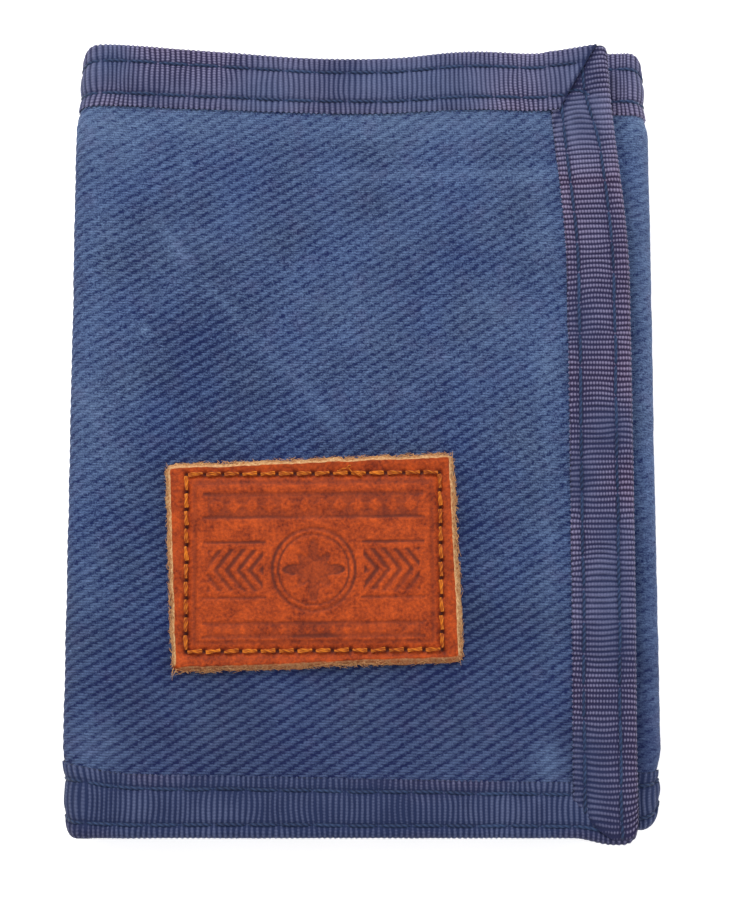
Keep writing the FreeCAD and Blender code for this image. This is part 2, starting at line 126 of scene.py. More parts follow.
def lattice(i, j, seed):
    """A repeatable random number from 0 to 1 for each lattice corner."""
    mixed = (i.astype(np.int64) * 73856093) ^ (j.astype(np.int64) * 19349663) ^ (seed * 83492791)
    mixed = (mixed ^ (mixed >> 13)) * 1274126177 & 0x7FFFFFFF
    mixed = (mixed ^ (mixed >> 16)) * 1103515245 & 0x7FFFFFFF
    return ((mixed >> 7) & 0xFFFF) / 65535.0


def noise(x, y, cell, seed):
    """Smooth noise from -1 to 1 whose blobs are about `cell` wide."""
    x, y = np.broadcast_arrays(np.asarray(x, float) / cell, np.asarray(y, float) / cell)
    i, j = np.floor(x), np.floor(y)
    u, v = ease(x - i), ease(y - j)
    low = lattice(i, j, seed) * (1 - u) + lattice(i + 1, j, seed) * u
    high = lattice(i, j + 1, seed) * (1 - u) + lattice(i + 1, j + 1, seed) * u
    return 2 * (low * (1 - v) + high * v) - 1


def steps(low, high, size, multiple=1):
    """Evenly spaced values from low to high, about `size` apart, in a multiple of `multiple` steps."""
    count = max(1, round(abs(high - low) / (size * multiple))) * multiple
    return np.linspace(low, high, count + 1)


def xyz(x, y, z):
    """Points, or other triples, from arrays or numbers."""
    return np.stack(np.broadcast_arrays(x, y, z), -1)


# ---- the cloth's path round the folds ----
FLAT_LEFT = LEFT_X + LEFT_BEND
FLAT_RIGHT = RIGHT_X - RIGHT_BEND
RUNS = (
    (FRONT_EDGE - FLAT_LEFT, 0),
    (LEFT_BEND * math.pi / 2, 90),
    (FRONT_Z - BACK_Z - 2 * LEFT_BEND, 0),
    (LEFT_BEND * math.pi / 2, 90),
    (FLAT_RIGHT - FLAT_LEFT, 0),
    (RIGHT_BEND * math.pi / 2, 90),
    (INNER_Z - BACK_Z - 2 * RIGHT_BEND, 0),
    (RIGHT_BEND * math.pi / 2, 90),
    (FLAT_RIGHT - INNER_EDGE, 0),
)
RUN_ENDS = np.concatenate([[0], np.cumsum([length for length, _ in RUNS])])
TURN_ENDS = 90 + np.concatenate([[0], np.cumsum([turn for _, turn in RUNS])])


def fold_path():
    """Tables of s, the middle line's x and z, and the angle of its outward direction."""
    s = np.linspace(0, RUN_ENDS[-1], 20001)
    angle = np.radians(np.interp(s, RUN_ENDS, TURN_ENDS))
    step = s[1] - s[0]
    middle = (angle[1:] + angle[:-1]) / 2
    x = FRONT_EDGE - np.concatenate([[0], np.cumsum(np.sin(middle) * step)])
    z = FRONT_Z + np.concatenate([[0], np.cumsum(np.cos(middle) * step)])
    return s, x, z, angle


PATH_S, PATH_X, PATH_Z, PATH_ANGLE = fold_path()
S_LEFT_TOP, S_LEFT_SPINE, S_LEFT_FOOT, S_BACK = RUN_ENDS[1:5]
S_RIGHT_FOOT, S_RIGHT_SPINE, S_RIGHT_TOP, S_INNER, S_END = RUN_ENDS[5:10]
S_LEFT_MIDDLE = (S_LEFT_SPINE + S_LEFT_FOOT) / 2
S_RIGHT_MIDDLE = (S_RIGHT_SPINE + S_RIGHT_TOP) / 2
S_BACK_SEAM = S_RIGHT_FOOT - 5


def on_path(s, y, n):
    """Points of the cloth at distance s, height y and offset n."""
    angle = np.interp(s, PATH_S, PATH_ANGLE)
    x = np.interp(s, PATH_S, PATH_X) + np.cos(angle) * n
    z = np.interp(s, PATH_S, PATH_Z) + np.sin(angle) * n
    return xyz(x, y, z)


PARTS = {
    "front": (0, S_LEFT_MIDDLE, "front_flap", "left_fold"),
    "back": (S_LEFT_MIDDLE, S_BACK_SEAM, "left_fold", "back_panel"),
    "right": (S_BACK_SEAM, S_RIGHT_MIDDLE, "back_panel", "right_fold"),
    "inner": (S_RIGHT_MIDDLE, S_END, "right_fold", "inner_flap"),
}
CREASES = {
    "front": ((FLAT_LEFT, FRONT_Z), (LEFT_X, FRONT_Z - LEFT_BEND)),
    "back": ((LEFT_X, BACK_Z + LEFT_BEND), (FLAT_LEFT, BACK_Z)),
    "right": ((FLAT_RIGHT, BACK_Z), (RIGHT_X, BACK_Z + RIGHT_BEND)),
    "inner": ((RIGHT_X, INNER_Z - RIGHT_BEND), (FLAT_RIGHT, INNER_Z)),
}
SEGMENTS_OF = {
    "front": ("front", "left_fold"),
    "back": ("back",),
    "right": ("right_fold",),
    "inner": ("inner",),
}


def foot_leg(s):
    """Offset of the inner leg of the tape at the foot: deep under the pockets, shallow in the folds."""
    edge = 2.2
    places = (
        (S_LEFT_TOP - edge, FRONT_LEG),
        (S_LEFT_TOP + 0.5, FOLD_LEG),
        (S_BACK - 0.5, FOLD_LEG),
        (S_BACK + edge, DEEP_LEG),
        (S_RIGHT_FOOT - edge / 2, DEEP_LEG),
        (S_RIGHT_FOOT + 0.5, FOLD_LEG),
        (S_INNER - 0.5, FOLD_LEG),
        (S_INNER + edge / 2, DEEP_LEG),
    )
    return np.interp(s, [place for place, _ in places], [leg for _, leg in places])


# ---- how the wallet has settled in use ----
BOW = 2.4  # how far the mouth sags in the middle
BOW_MIDDLE = -2
BOW_WIDTH = 25
BOW_DEPTH = 16  # how far down the sag dies away
LOW_SIDE = 0.3  # how much lower the mouth lies towards the left fold
FLAP_BOW = 1.3  # the front flap's own dip beside its free edge
FLAP_BOW_MIDDLE = 30
FLAP_BOW_WIDTH = 9
FOOT_DEPTH = 7  # how far up a move of the foot dies away
FLAP_FOOT_DROP = 1.0
BACK_FOOT_RISE = 1.2
CORNERS = ((1, 1, 2.0), (-1, 1, 2.2), (1, -1, 3.2), (-1, -1, 2.0))  # x side, y side, radius
FLAP_CORNERS = {  # a flap's free edge, x side, y side, radius
    "front": ((FRONT_EDGE, 1, 1, 1.3), (FRONT_EDGE, 1, -1, 2.4)),
    "inner": ((INNER_EDGE, -1, 1, 2.0), (INNER_EDGE, -1, -1, 2.0)),
}


def rounded(points, edge_x, x_side, y_side, radius):
    """How far to pull points in along y so that the corner at edge_x is round."""
    along = np.clip((x_side * (points[..., 0] - edge_x) + radius) / radius, 0, 1)
    drop = radius * (1 - np.sqrt(1 - along**2))
    depth = TOP - y_side * points[..., 1]
    return -y_side * drop * np.exp(-((depth / (2.2 * radius)) ** 2))


def flap_slide(x, y):
    """The front flap's free edge isn't straight: it leans in at the top and out in the middle."""
    lean = -0.35 - 2.9 * rise(y, 22, 40) - 0.3 * rise(-y, 15, 45)
    return lean * rise(x, 5, 33)


def flap_lift(x, y):
    """The front flap's gentle waves and its raised top corner."""
    waves = 0.12 * noise(x, y, 17, 5) + 0.06 * noise(x, y, 7, 6)
    corner = 0.7 * rise(x, 24, 18) * rise(y, 44, 16)
    return waves * rise(x, -40, 12) + corner


def fold_pinch(x, y):
    """The stitched tape holds the folds tighter than the plain cloth between them, most at two corners."""
    taped = rise(np.abs(y), 47, 6)
    left = (0.15 - taped * (0.95 + 0.2 * (y > 0))) * rise(-x, 34, 8)
    right = (0.1 - taped * (1.15 - 0.25 * (y < 0))) * rise(x, 39, 4)
    return right - left


def settle(points, panel):
    """Moves points of the flat design to where long use has left them."""
    x, y = points[..., 0], points[..., 1]
    near_mouth = np.exp(-np.clip(TOP - y, 0, None) / BOW_DEPTH)
    near_foot = np.exp(-np.clip(y - FOOT, 0, None) / FOOT_DEPTH)
    sag = BOW * bump(x, BOW_MIDDLE, BOW_WIDTH) * rise(x, -42, 14) + LOW_SIDE * fall(x, 14, 10)
    moved = points.copy()
    if panel == "front":
        sag = sag + FLAP_BOW * bump(x, FLAP_BOW_MIDDLE, FLAP_BOW_WIDTH)
        foot_shift = -FLAP_FOOT_DROP * rise(x, 31, 6)
        moved[..., 0] += flap_slide(x, y) + fold_pinch(x, y) * (x < 0)
        moved[..., 2] += flap_lift(x, y)
    else:
        foot_shift = BACK_FOOT_RISE * rise(x, 36, 5)
        moved[..., 0] += fold_pinch(x, y)
    corners = [(x_side * HALF_WIDTH, x_side, *rest) for x_side, *rest in CORNERS]
    corners += FLAP_CORNERS.get(panel, ())
    pulls = sum(rounded(points, *corner) for corner in corners)
    moved[..., 1] += foot_shift * near_foot - sag * near_mouth + pulls
    return moved


# ---- shapes ----
class Shape:
    """Points, faces grouped by corner count, and what the materials read: cloth coordinates, and wear with
    the painted shade some pieces carry in it.
    """

    def __init__(self, points, cloth, wear_and_shade, faces=()):
        self.points = points.reshape(-1, 3)
        self.faces = faces
        self.cloth = np.array(np.broadcast_to(cloth, points.shape)).reshape(-1, 3)
        self.wear_and_shade = np.array(np.broadcast_to(wear_and_shade, points.shape[:-1])).reshape(-1)


def join(shapes):
    """Several closed shapes as one."""
    groups = {}
    start = 0
    for shape in shapes:
        for faces in shape.faces:
            groups.setdefault(faces.shape[1], []).append(faces + start)
        start += len(shape.points)
    faces = [np.concatenate(group) for group in groups.values()]
    lists = [(shape.points, shape.cloth, shape.wear_and_shade) for shape in shapes]
    return Shape(*(np.concatenate(part) for part in zip(*lists)), faces)


def cells(grid):
    """The quads between neighbouring rows and columns of a grid of point numbers."""
    corners = [grid[:-1, :-1], grid[1:, :-1], grid[1:, 1:], grid[:-1, 1:]]
    return np.stack(corners, -1).reshape(-1, 4)


def rim(outer, inner, coarse):
    """Faces that close the edge between a fine line of points and a coarse one."""
    first = np.arange(len(inner) - 1)[:, None]
    fine = outer[first * coarse + np.arange(coarse + 1)]
    return np.concatenate([fine, inner[first + 1], inner[first]], 1)


def sheet(surface, a, b, coarse=1):
    """A closed sheet. surface(a, b, outside) gives the points, cloth coordinates, and wear with any painted
    shade, of one face.
    """
    outer = Shape(*surface(*np.meshgrid(a, b, indexing="ij"), True))
    inner = Shape(*surface(*np.meshgrid(a[::coarse], b[::coarse], indexing="ij"), False))
    front = np.arange(len(a) * len(b)).reshape(len(a), len(b))
    back = np.arange(len(inner.points)).reshape(len(a[::coarse]), -1)
    both = join([outer, inner])
    back = back + front.size
    rims = [
        rim(front[0, :], back[0, :], coarse),
        rim(front[-1, ::-1], back[-1, ::-1], coarse),
        rim(front[::-1, 0], back[::-1, 0], coarse),
        rim(front[:, -1], back[:, -1], coarse),
    ]
    both.faces = [np.concatenate([cells(front), cells(back)[:, ::-1]]), np.concatenate(rims)]
    return both


def unit(vectors):
    return vectors / np.maximum(np.linalg.norm(vectors, axis=-1, keepdims=True), 1e-9)


def tubes(centres, radii, sides, up, wear_and_shade=0.5):
    """Closed round tubes, one for each row of centres (tube, station, xyz)."""
    centres = np.asarray(centres, float)
    tangent = unit(np.gradient(centres, axis=1))
    side = unit(np.cross(tangent, np.broadcast_to(up, tangent.shape)))
    over = np.cross(side, tangent)
    turn = 2 * math.pi * np.arange(sides) / sides
    spread = np.cos(turn)[:, None] * side[:, :, None] + np.sin(turn)[:, None] * over[:, :, None]
    radii = np.broadcast_to(radii, centres.shape[:2])
    points = centres[:, :, None] + radii[..., None, None] * spread
    index = np.arange(points[..., 0].size).reshape(points.shape[:3])
    beside = np.roll(index, -1, axis=2)
    quads = np.stack([index[:, :-1], beside[:, :-1], beside[:, 1:], index[:, 1:]], -1)
    caps = np.concatenate([index[:, 0, ::-1], index[:, -1]])
    gaps = np.linalg.norm(np.diff(centres, axis=1), axis=-1)
    along = np.concatenate([np.zeros((len(centres), 1)), np.cumsum(gaps, axis=1)], 1)
    along = along[..., None]
    around = turn / (2 * math.pi)
    number = np.arange(len(centres))[:, None, None]
    wear_and_shade = np.reshape(wear_and_shade, (-1, 1, 1))
    return Shape(points, xyz(along, around, number), wear_and_shade, [quads.reshape(-1, 4), caps])


def stacked(levels, closed, wear_and_shade=0.5):
    """A shape through outlines of (x, y) points, each at its height; closed joins the last to the first."""
    points = np.stack([np.column_stack([loop, np.broadcast_to(z, len(loop))]) for loop, z in levels])
    index = np.arange(points[..., 0].size).reshape(points.shape[:2])
    caps = [] if closed else [np.stack([index[0, ::-1], index[-1]])]
    if closed:
        index = np.concatenate([index, index[:1]])
    beside = np.roll(index, -1, axis=1)
    quads = np.stack([index[:-1], beside[:-1], beside[1:], index[1:]], -1).reshape(-1, 4)
    return Shape(points, points, wear_and_shade, [quads, *caps])


def slab(outline, low_z, high_z, bevel=0.1):
    """A closed plate with bevelled edges over a convex or gently waisted outline of (x, y) points."""
    outline = np.asarray(outline, float)
    middle = outline.mean(0)
    reach = np.linalg.norm(outline - middle, axis=1).max()
    inset = middle + (outline - middle) * (1 - bevel / reach)
    levels = [(inset, low_z), (outline, low_z + bevel), (outline, high_z - bevel), (inset, high_z)]
    return stacked(levels, closed=False)


def ring_plate(outer, inner, low_z, high_z, bevel):
    """A closed plate with a hole. Both outlines have the same number of points."""
    middle = inner.mean(0)
    outer_inset = outer - unit(outer - middle) * bevel
    inner_inset = inner + unit(inner - middle) * bevel
    levels = [
        (outer_inset, low_z),
        (outer, low_z + bevel),
        (outer, high_z - bevel),
        (outer_inset, high_z),
        (inner_inset, high_z),
        (inner, high_z - bevel),
        (inner, low_z + bevel),
        (inner_inset, low_z),
    ]
    return stacked(levels, closed=True)


def round_rect(x, y, radius, per_corner=5):
    """Outline points of a rectangle with round corners, anticlockwise."""
    corners = ((x[1], y[1], 0), (x[0], y[1], 90), (x[0], y[0], 180), (x[1], y[0], 270))
    middle_x, middle_y = (x[0] + x[1]) / 2, (y[0] + y[1]) / 2
    points = []
    for corner_x, corner_y, start in corners:
        cx = corner_x - math.copysign(radius, corner_x - middle_x)
        cy = corner_y - math.copysign(radius, corner_y - middle_y)
        for angle in np.radians(start + np.linspace(0, 90, per_corner)):
            points.append((cx + radius * math.cos(angle), cy + radius * math.sin(angle)))
    return points


def facing_out(shape):
    """The faces, turned round if the shape is inside out."""
    volume = 0
    for faces in shape.faces:
        first, second, third = (shape.points[faces[:, corner]] for corner in (0, 1, 2))
        last = shape.points[faces[:, -1]]
        volume += np.sum(first * np.cross(second, third)) + np.sum(first * np.cross(third, last))
    return [faces[:, ::-1] for faces in shape.faces] if volume < 0 else shape.faces


def piece(name, shape, look, crisp=45):
    """Makes a Blender object of a shape. look is the name of its material."""
    mesh = bpy.data.meshes.new(name)
    groups = facing_out(shape)
    corners = np.concatenate([faces.reshape(-1) for faces in groups])
    sizes = np.concatenate([np.full(len(faces), faces.shape[1]) for faces in groups])
    starts = np.concatenate([[0], np.cumsum(sizes)[:-1]])
    mesh.vertices.add(len(shape.points))
    mesh.vertices.foreach_set("co", (shape.points * MM).astype(np.float32).ravel())
    mesh.loops.add(len(corners))
    mesh.loops.foreach_set("vertex_index", corners.astype(np.int32))
    mesh.polygons.add(len(sizes))
    mesh.polygons.foreach_set("loop_start", starts.astype(np.int32))
    mesh.polygons.foreach_set("use_smooth", np.ones(len(sizes), bool))
    mesh.update(calc_edges=True)
    mesh.set_sharp_from_angle(angle=math.radians(crisp))
    cloth = mesh.attributes.new("cloth", "FLOAT_VECTOR", "POINT")
    cloth.data.foreach_set("vector", shape.cloth.astype(np.float32).ravel())
    wear_and_shade = mesh.attributes.new("wear_and_shade", "FLOAT", "POINT")
    wear_and_shade.data.foreach_set("value", shape.wear_and_shade.astype(np.float32))
    made = bpy.data.objects.new(name, mesh)
    bpy.context.scene.collection.objects.link(made)
    mesh.materials.append(MATERIALS[look])
    return made


def across_fold(part, kind, shape, look, ending):
    """A piece of one of the four parts of the path, made where it lies across that part's crease; the CAD
    segments it stands for are hidden.
    """
    start, end = CREASES[part]
    made = piece(f"{kind}_{part}", shape, look)
    ends = {"start": (start[0] * MM, 0, start[1] * MM), "end": (end[0] * MM, 0, end[1] * MM)}
    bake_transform(made)
    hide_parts(*(f"{segment}_{ending}" for segment in SEGMENTS_OF[part]))


def on_body(body, name, shape, look, node, crisp=45):
    """A piece that moves with one body and stands for one CAD node."""
    made = piece(name, shape, look, crisp)
    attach(made, body)
    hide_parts(node)


# ---- materials ----
def srgb(red, green, blue):
    """A linear colour from the usual 0 to 255 numbers."""
    parts = [value / 255 for value in (red, green, blue)]
    linear = [v / 12.92 if v <= 0.04045 else ((v + 0.055) / 1.055) ** 2.4 for v in parts]
    return (*linear, 1)


class Value:
    """A number flowing through a node material, so that sums read as sums."""

    def __init__(self, paint, socket):
        self.paint = paint
        self.socket = socket

    def __add__(self, other):
        return self.paint.math("ADD", self, other)

    def __sub__(self, other):
        return self.paint.math("SUBTRACT", self, other)

    def __rsub__(self, other):
        return self.paint.math("SUBTRACT", other, self)

    def __mul__(self, other):
        return self.paint.math("MULTIPLY", self, other)

    def __truediv__(self, other):
        return self.paint.math("DIVIDE", self, other)

    __radd__ = __add__
    __rmul__ = __mul__


class Paint:
    """Builds one procedural material. cloth is in millimetres along, across and through the piece."""

    def __init__(self, name):
        self.material = bpy.data.materials.new(name)
        self.material.use_nodes = True
        self.tree = self.material.node_tree
        self.shader = self.tree.nodes["Principled BSDF"]
        attribute = self.node("ShaderNodeAttribute", attribute_name="cloth")
        self.cloth = attribute.outputs["Vector"]
        parts = self.node("ShaderNodeSeparateXYZ")
        self.connect(parts.inputs[0], self.cloth)
        self.along, self.across, self.third = (Value(self, socket) for socket in parts.outputs)
        worn_and_shaded = self.node("ShaderNodeAttribute", attribute_name="wear_and_shade")
        self.wear_and_shade = Value(self, worn_and_shaded.outputs["Fac"])

    def node(self, kind, **settings):
        made = self.tree.nodes.new(kind)
        for key, value in settings.items():
            setattr(made, key, value)
        return made

    def connect(self, target, source):
        if isinstance(source, Value):
            source = source.socket
        if isinstance(source, bpy.types.NodeSocket):
            self.tree.links.new(source, target)
        else:
            target.default_value = source

    def math(self, operation, *values):
        made = self.node("ShaderNodeMath", operation=operation)
        for target, value in zip(made.inputs, values):
            self.connect(target, value)
        return Value(self, made.outputs[0])

    def wave(self, value):
        """0 to 1 and back, once for each whole number."""
        return self.math("COSINE", value * (2 * math.pi)) * -0.5 + 0.5

    def smooth(self, value, low, high):
        made = self.node("ShaderNodeMapRange", interpolation_type="SMOOTHSTEP")
        self.connect(made.inputs["Value"], value)
        self.connect(made.inputs["From Min"], low)
        self.connect(made.inputs["From Max"], high)
        return Value(self, made.outputs["Result"])

    def vector(self, x, y, z=0.0):
        made = self.node("ShaderNodeCombineXYZ")
        for target, value in zip(made.inputs, (x, y, z)):
            self.connect(target, value)
        return made.outputs[0]

    def noise(self, size, detail=2.0, place=None, rough=0.5):
        """Noise from 0 to 1 with blobs about `size` millimetres wide."""
        made = self.node("ShaderNodeTexNoise")
        self.connect(made.inputs["Vector"], place or self.cloth)
        made.inputs["Scale"].default_value = 1 / size
        made.inputs["Detail"].default_value = detail
        made.inputs["Roughness"].default_value = rough
        return Value(self, made.outputs["Fac"])

    def scatter(self, x, y):
        """A random number from 0 to 1 for each pair of whole numbers."""
        made = self.node("ShaderNodeTexWhiteNoise", noise_dimensions="2D")
        self.connect(made.inputs["Vector"], self.vector(x, y))
        return Value(self, made.outputs["Value"])

    def mix(self, amount, low, high):
        made = self.node("ShaderNodeMix", data_type="RGBA", clamp_factor=True)
        self.connect(made.inputs["Factor"], amount)
        self.connect(made.inputs["A"], low)
        self.connect(made.inputs["B"], high)
        return made.outputs["Result"]

    def finish(self, colour, roughness, height=None, sheen=0.0, strength=1.0, **inputs):
        """height is in millimetres."""
        self.connect(self.shader.inputs["Base Color"], colour)
        self.connect(self.shader.inputs["Roughness"], roughness)
        self.shader.inputs["Specular IOR Level"].default_value = 0.2
        self.shader.inputs["Sheen Weight"].default_value = sheen
        self.shader.inputs["Sheen Roughness"].default_value = 0.5
        for key, value in inputs.items():
            self.connect(self.shader.inputs[key.replace("_", " ")], value)
        if height is not None:
            relief = self.node("ShaderNodeBump")
            relief.inputs["Distance"].default_value = MM
            relief.inputs["Strength"].default_value = strength
            self.connect(relief.inputs["Height"], height)
            self.connect(self.shader.inputs["Normal"], relief.outputs[0])
        return self.material


ROW = 0.38  # pitch of the denim's crosswise yarns
ROWS_EACH = 4  # yarns before the weave repeats
REPEAT = ROW * ROWS_EACH
FLOAT = 2.63  # length of one float and its gap along a yarn; each yarn is a quarter of it further on


def denim_material():
    """Three-over-one twill: yarns float to the side and step a quarter repeat from each to the next."""
    paint = Paint("denim")
    bend = paint.noise(9.0, 1.0) * 0.9 + paint.noise(1.3, 2.0) * 0.5
    row = paint.across / ROW + bend
    yarn = paint.math("FLOOR", row)
    side = (paint.math("FRACT", row) - 0.5) * 2
    round_yarn = paint.math("SQRT", 1 - side * side * 0.9)
    shaky = paint.scatter(yarn, 3.0) * 0.10 + paint.noise(0.9, 1.0) * 0.16
    run = paint.along * (-1 / FLOAT) - (yarn - bend) * (1 / ROWS_EACH) + shaky
    place = paint.math("FRACT", run)
    over = paint.smooth(place, 0.0, 0.22) * (1 - paint.smooth(place, 0.55, 0.86))
    height = round_yarn * (over * 0.7 + 0.3)
    speck = paint.scatter(yarn, paint.math("FLOOR", run))
    streaks = paint.vector(paint.along * 0.45, paint.across, 0.0)
    grain = paint.noise(0.34, 1.0, place=streaks, rough=0.9)
    speckle = paint.noise(0.17, 0.0)
    fuzz = paint.noise(0.75, 3.0, rough=0.75)
    pits = paint.smooth(paint.noise(0.5, 1.0, place=streaks), 0.56, 0.72) * (1 - over)
    flecks = paint.smooth(paint.noise(0.36, 1.0, place=streaks), 0.68, 0.80)
    patchy = paint.noise(6.0, 3.0, rough=0.6)
    kept = paint.smooth(paint.across, -40.0, 40.0) * 0.5
    from_right = paint.math("ABSOLUTE", paint.along - (S_RIGHT_TOP - 1))
    brushed = paint.smooth(from_right, 3.0, 9.0) * (0.6 - kept) + kept + 0.4
    floats = (over - 0.4) * brushed * (0.46 - paint.wear_and_shade * 0.30) + 0.18
    weave = floats + round_yarn * 0.12 + speck * 0.10 - pits * 0.30 + flecks * 0.60
    crisp = paint.smooth(paint.across, -45.0, 5.0) * 0.45 + 0.55
    fine = (grain * 1.0 + speckle * 1.15 + fuzz * 0.85 - 1.5) * crisp
    # wear lightens the cloth; below 0 it darkens it, carrying painted shadow round the label and along the
    # inner flap's edge beneath
    shade = weave + fine + patchy * 0.26 + paint.wear_and_shade * 0.6 - 0.32
    hue = paint.smooth(paint.noise(11.0, 2.0), 0.15, 0.85)
    dark = paint.mix(hue, srgb(20, 34, 86), srgb(28, 39, 76))
    light = paint.mix(hue, srgb(88, 113, 162), srgb(97, 117, 151))
    near_foot = (1 - paint.smooth(paint.across, -52.0, -22.0)) * 0.6
    upper = paint.mix(shade, dark, light)
    plain = paint.mix(near_foot, upper, paint.mix(shade, srgb(27, 32, 74), srgb(86, 100, 138)))
    faded = paint.mix(paint.wear_and_shade, plain, paint.mix(shade, srgb(34, 48, 98), srgb(114, 138, 176)))
    reddish = paint.smooth(paint.noise(3.5, 2.0), 0.5, 0.75) * 0.22
    tired = paint.mix(reddish, faded, paint.mix(shade, srgb(44, 42, 84), srgb(112, 114, 158)))
    relief = height * brushed * 0.13 + grain * 0.06 + fuzz * 0.06
    return paint.finish(tired, 0.95, relief, sheen=0.05)


RIB = 0.79  # pitch of the binding's ribs


def tape_material():
    """Grosgrain: fine threads run the tape's length over thick cross ribs. third is how red it has gone."""
    paint = Paint("binding_tape")
    rib = paint.math("POWER", paint.wave(paint.along / RIB), 0.7)
    which_rib = paint.math("FLOOR", paint.along / RIB)
    thread = paint.wave(paint.across / 0.46 + paint.scatter(which_rib, 1.0) * 0.7 + paint.noise(2.0) * 0.6)
    fuzz = paint.noise(0.2, 2.0)
    patchy = paint.noise(6.0, 2.0)
    contrast = paint.smooth(paint.third, 0.2, 0.6) * 0.52 + 0.66
    beads = contrast * 0.7 - 0.22
    ribbed = (rib * (1 - beads) + rib * thread * beads - 0.57 + beads * 0.28) * contrast * 1.06
    shade = ribbed + fuzz * 0.40 + patchy * 0.35 + paint.wear_and_shade * 0.5 - 0.375
    dark = paint.mix(paint.third, srgb(34, 46, 84), srgb(44, 34, 66))
    light = paint.mix(paint.third, srgb(116, 126, 164), srgb(150, 138, 172))
    relief = thread * rib * 0.035 + fuzz * 0.02
    return paint.finish(paint.mix(shade, dark, light), 0.8, relief, sheen=0.06)


def thread_material(name, dark, light, twist):
    """Sewing thread with its plies twisted round. cloth is along, around and which stitch."""
    paint = Paint(name)
    ply = paint.wave(paint.along / twist + paint.across * 2)
    tone = ply * 0.6 + paint.scatter(paint.third, 1.0) * 0.35 + paint.wear_and_shade * 0.3 - 0.2
    return paint.finish(paint.mix(tone, dark, light), 0.6, ply * 0.05, sheen=0.1)


def leather_material():
    """Oiled leather. wear 0 is plain, 1 pressed and dark, 2 a needle hole painted dark for the shade inside
    it; third is 1 on the raw side, less where painted shade lies along its lower sides.
    """
    paint = Paint("leather")
    pores = paint.noise(0.5, 4.0, rough=0.7)
    cloudy = paint.noise(4.0, 3.0, rough=0.6)
    grain = paint.noise(1.3, 3.0, rough=0.65)
    tone = cloudy * 1.25 + grain * 0.75 + pores * 1.45 - 1.26
    hide = paint.mix(tone, srgb(108, 31, 8), srgb(220, 90, 26))
    pressed = paint.mix(paint.wear_and_shade * 0.85, hide, srgb(84, 34, 26))
    # needle holes painted near black for the shade inside them
    hole = paint.mix(paint.smooth(paint.wear_and_shade, 1.1, 1.8), pressed, srgb(24, 12, 12))
    fibre_tone = paint.noise(0.45, 3.0, rough=0.7) * 2.2 - 0.65
    fibre = paint.mix(fibre_tone, srgb(182, 104, 52), srgb(255, 214, 156))
    colour = paint.mix(paint.smooth(paint.third, 0.35, 0.65), hole, fibre)
    rough = 0.46 + pores * 0.25 + paint.third * 0.3
    return paint.finish(colour, rough, pores * 0.10 + grain * 0.08)


def nylon_material(name, dark, light, pitch):
    """Plain weave, over and under by turns, with a slight sheen."""
    paint = Paint(name)
    x = paint.along / pitch + paint.noise(6.0) * 0.5
    y = paint.across / pitch
    checks = (paint.wave(x) - 0.5) * (paint.wave(y) - 0.5)
    tone = checks * 1.2 + paint.noise(5.0, 3.0) * 0.8 + paint.wear_and_shade * 0.3 - 0.05
    return paint.finish(paint.mix(tone, dark, light), 0.55, checks * 0.12, sheen=0.3)


def fuzz_material(name, dark, light):
    """Brushed or moulded strands of hook and loop tape."""
    paint = Paint(name)
    tone = paint.noise(0.5, 3.0) * 0.8 + paint.scatter(paint.third, 2.0) * 0.4 - 0.15
    return paint.finish(paint.mix(tone, dark, light), 0.6, paint.noise(0.2) * 0.05, sheen=0.2)


def herringbone_material():
    """Zip tape: rows of slanting twill that change direction."""
    paint = Paint("zip_tape")
    row = paint.math("PINGPONG", paint.across, 0.9)
    slant = paint.wave((paint.along + row * 1.2) / 0.45)
    tone = slant * 0.5 + paint.noise(3.0, 3.0) * 0.7 - 0.1
    return paint.finish(paint.mix(tone, srgb(20, 24, 48), srgb(64, 74, 116)), 0.75, slant * 0.05)


def metal_material():
    """Plated brass that has dulled, with fine scratches."""
    paint = Paint("zip_metal")
    scratch = paint.noise(0.12, 2.0, place=paint.vector(paint.along * 0.15, paint.across, paint.third))
    dull = paint.noise(1.6, 4.0, rough=0.65)
    colour = paint.mix(dull * 1.3 - 0.15, srgb(112, 92, 62), srgb(196, 178, 140))
    rough = dull * 0.25 + scratch * 0.15 + 0.15
    return paint.finish(colour, rough, scratch * 0.01 + dull * 0.02, Metallic=1.0)


def vinyl_material():
    """Clear vinyl, a little cloudy and scuffed."""
    paint = Paint("clear_vinyl")
    scuff = paint.noise(2.5, 4.0, rough=0.7)
    colour = paint.mix(scuff, srgb(214, 222, 226), srgb(250, 250, 248))
    ripple = paint.noise(8.0, 2.0) * 0.1
    return paint.finish(colour, scuff * 0.25 + 0.16, ripple, Alpha=scuff * 0.16 + 0.14)


def coil_material():
    """Moulded nylon teeth, slightly waxy."""
    paint = Paint("zip_coil")
    tone = paint.noise(0.6, 3.0) + paint.wear_and_shade * 0.2 - 0.2
    return paint.finish(paint.mix(tone, srgb(18, 22, 44), srgb(58, 68, 108)), 0.42, paint.noise(0.3) * 0.02)


MATERIALS = {
    "denim": denim_material(),
    "binding_tape": tape_material(),
    "thread": thread_material("thread", srgb(22, 34, 66), srgb(58, 80, 120), 0.9),
    "patch_thread": thread_material("patch_thread", srgb(146, 58, 6), srgb(248, 142, 30), 1.1),
    "leather": leather_material(),
    "lining_nylon": nylon_material("lining_nylon", srgb(22, 26, 46), srgb(58, 66, 98), 0.42),
    "pocket_trim": nylon_material("pocket_trim", srgb(34, 40, 70), srgb(86, 96, 138), 0.6),
    "hook_tape": fuzz_material("hook_tape", srgb(16, 20, 38), srgb(62, 70, 104)),
    "loop_tape": fuzz_material("loop_tape", srgb(18, 22, 44), srgb(70, 80, 120)),
    "zip_tape": herringbone_material(),
    "zip_metal": metal_material(),
    "clear_vinyl": vinyl_material(),
    "zip_coil": coil_material(),
}


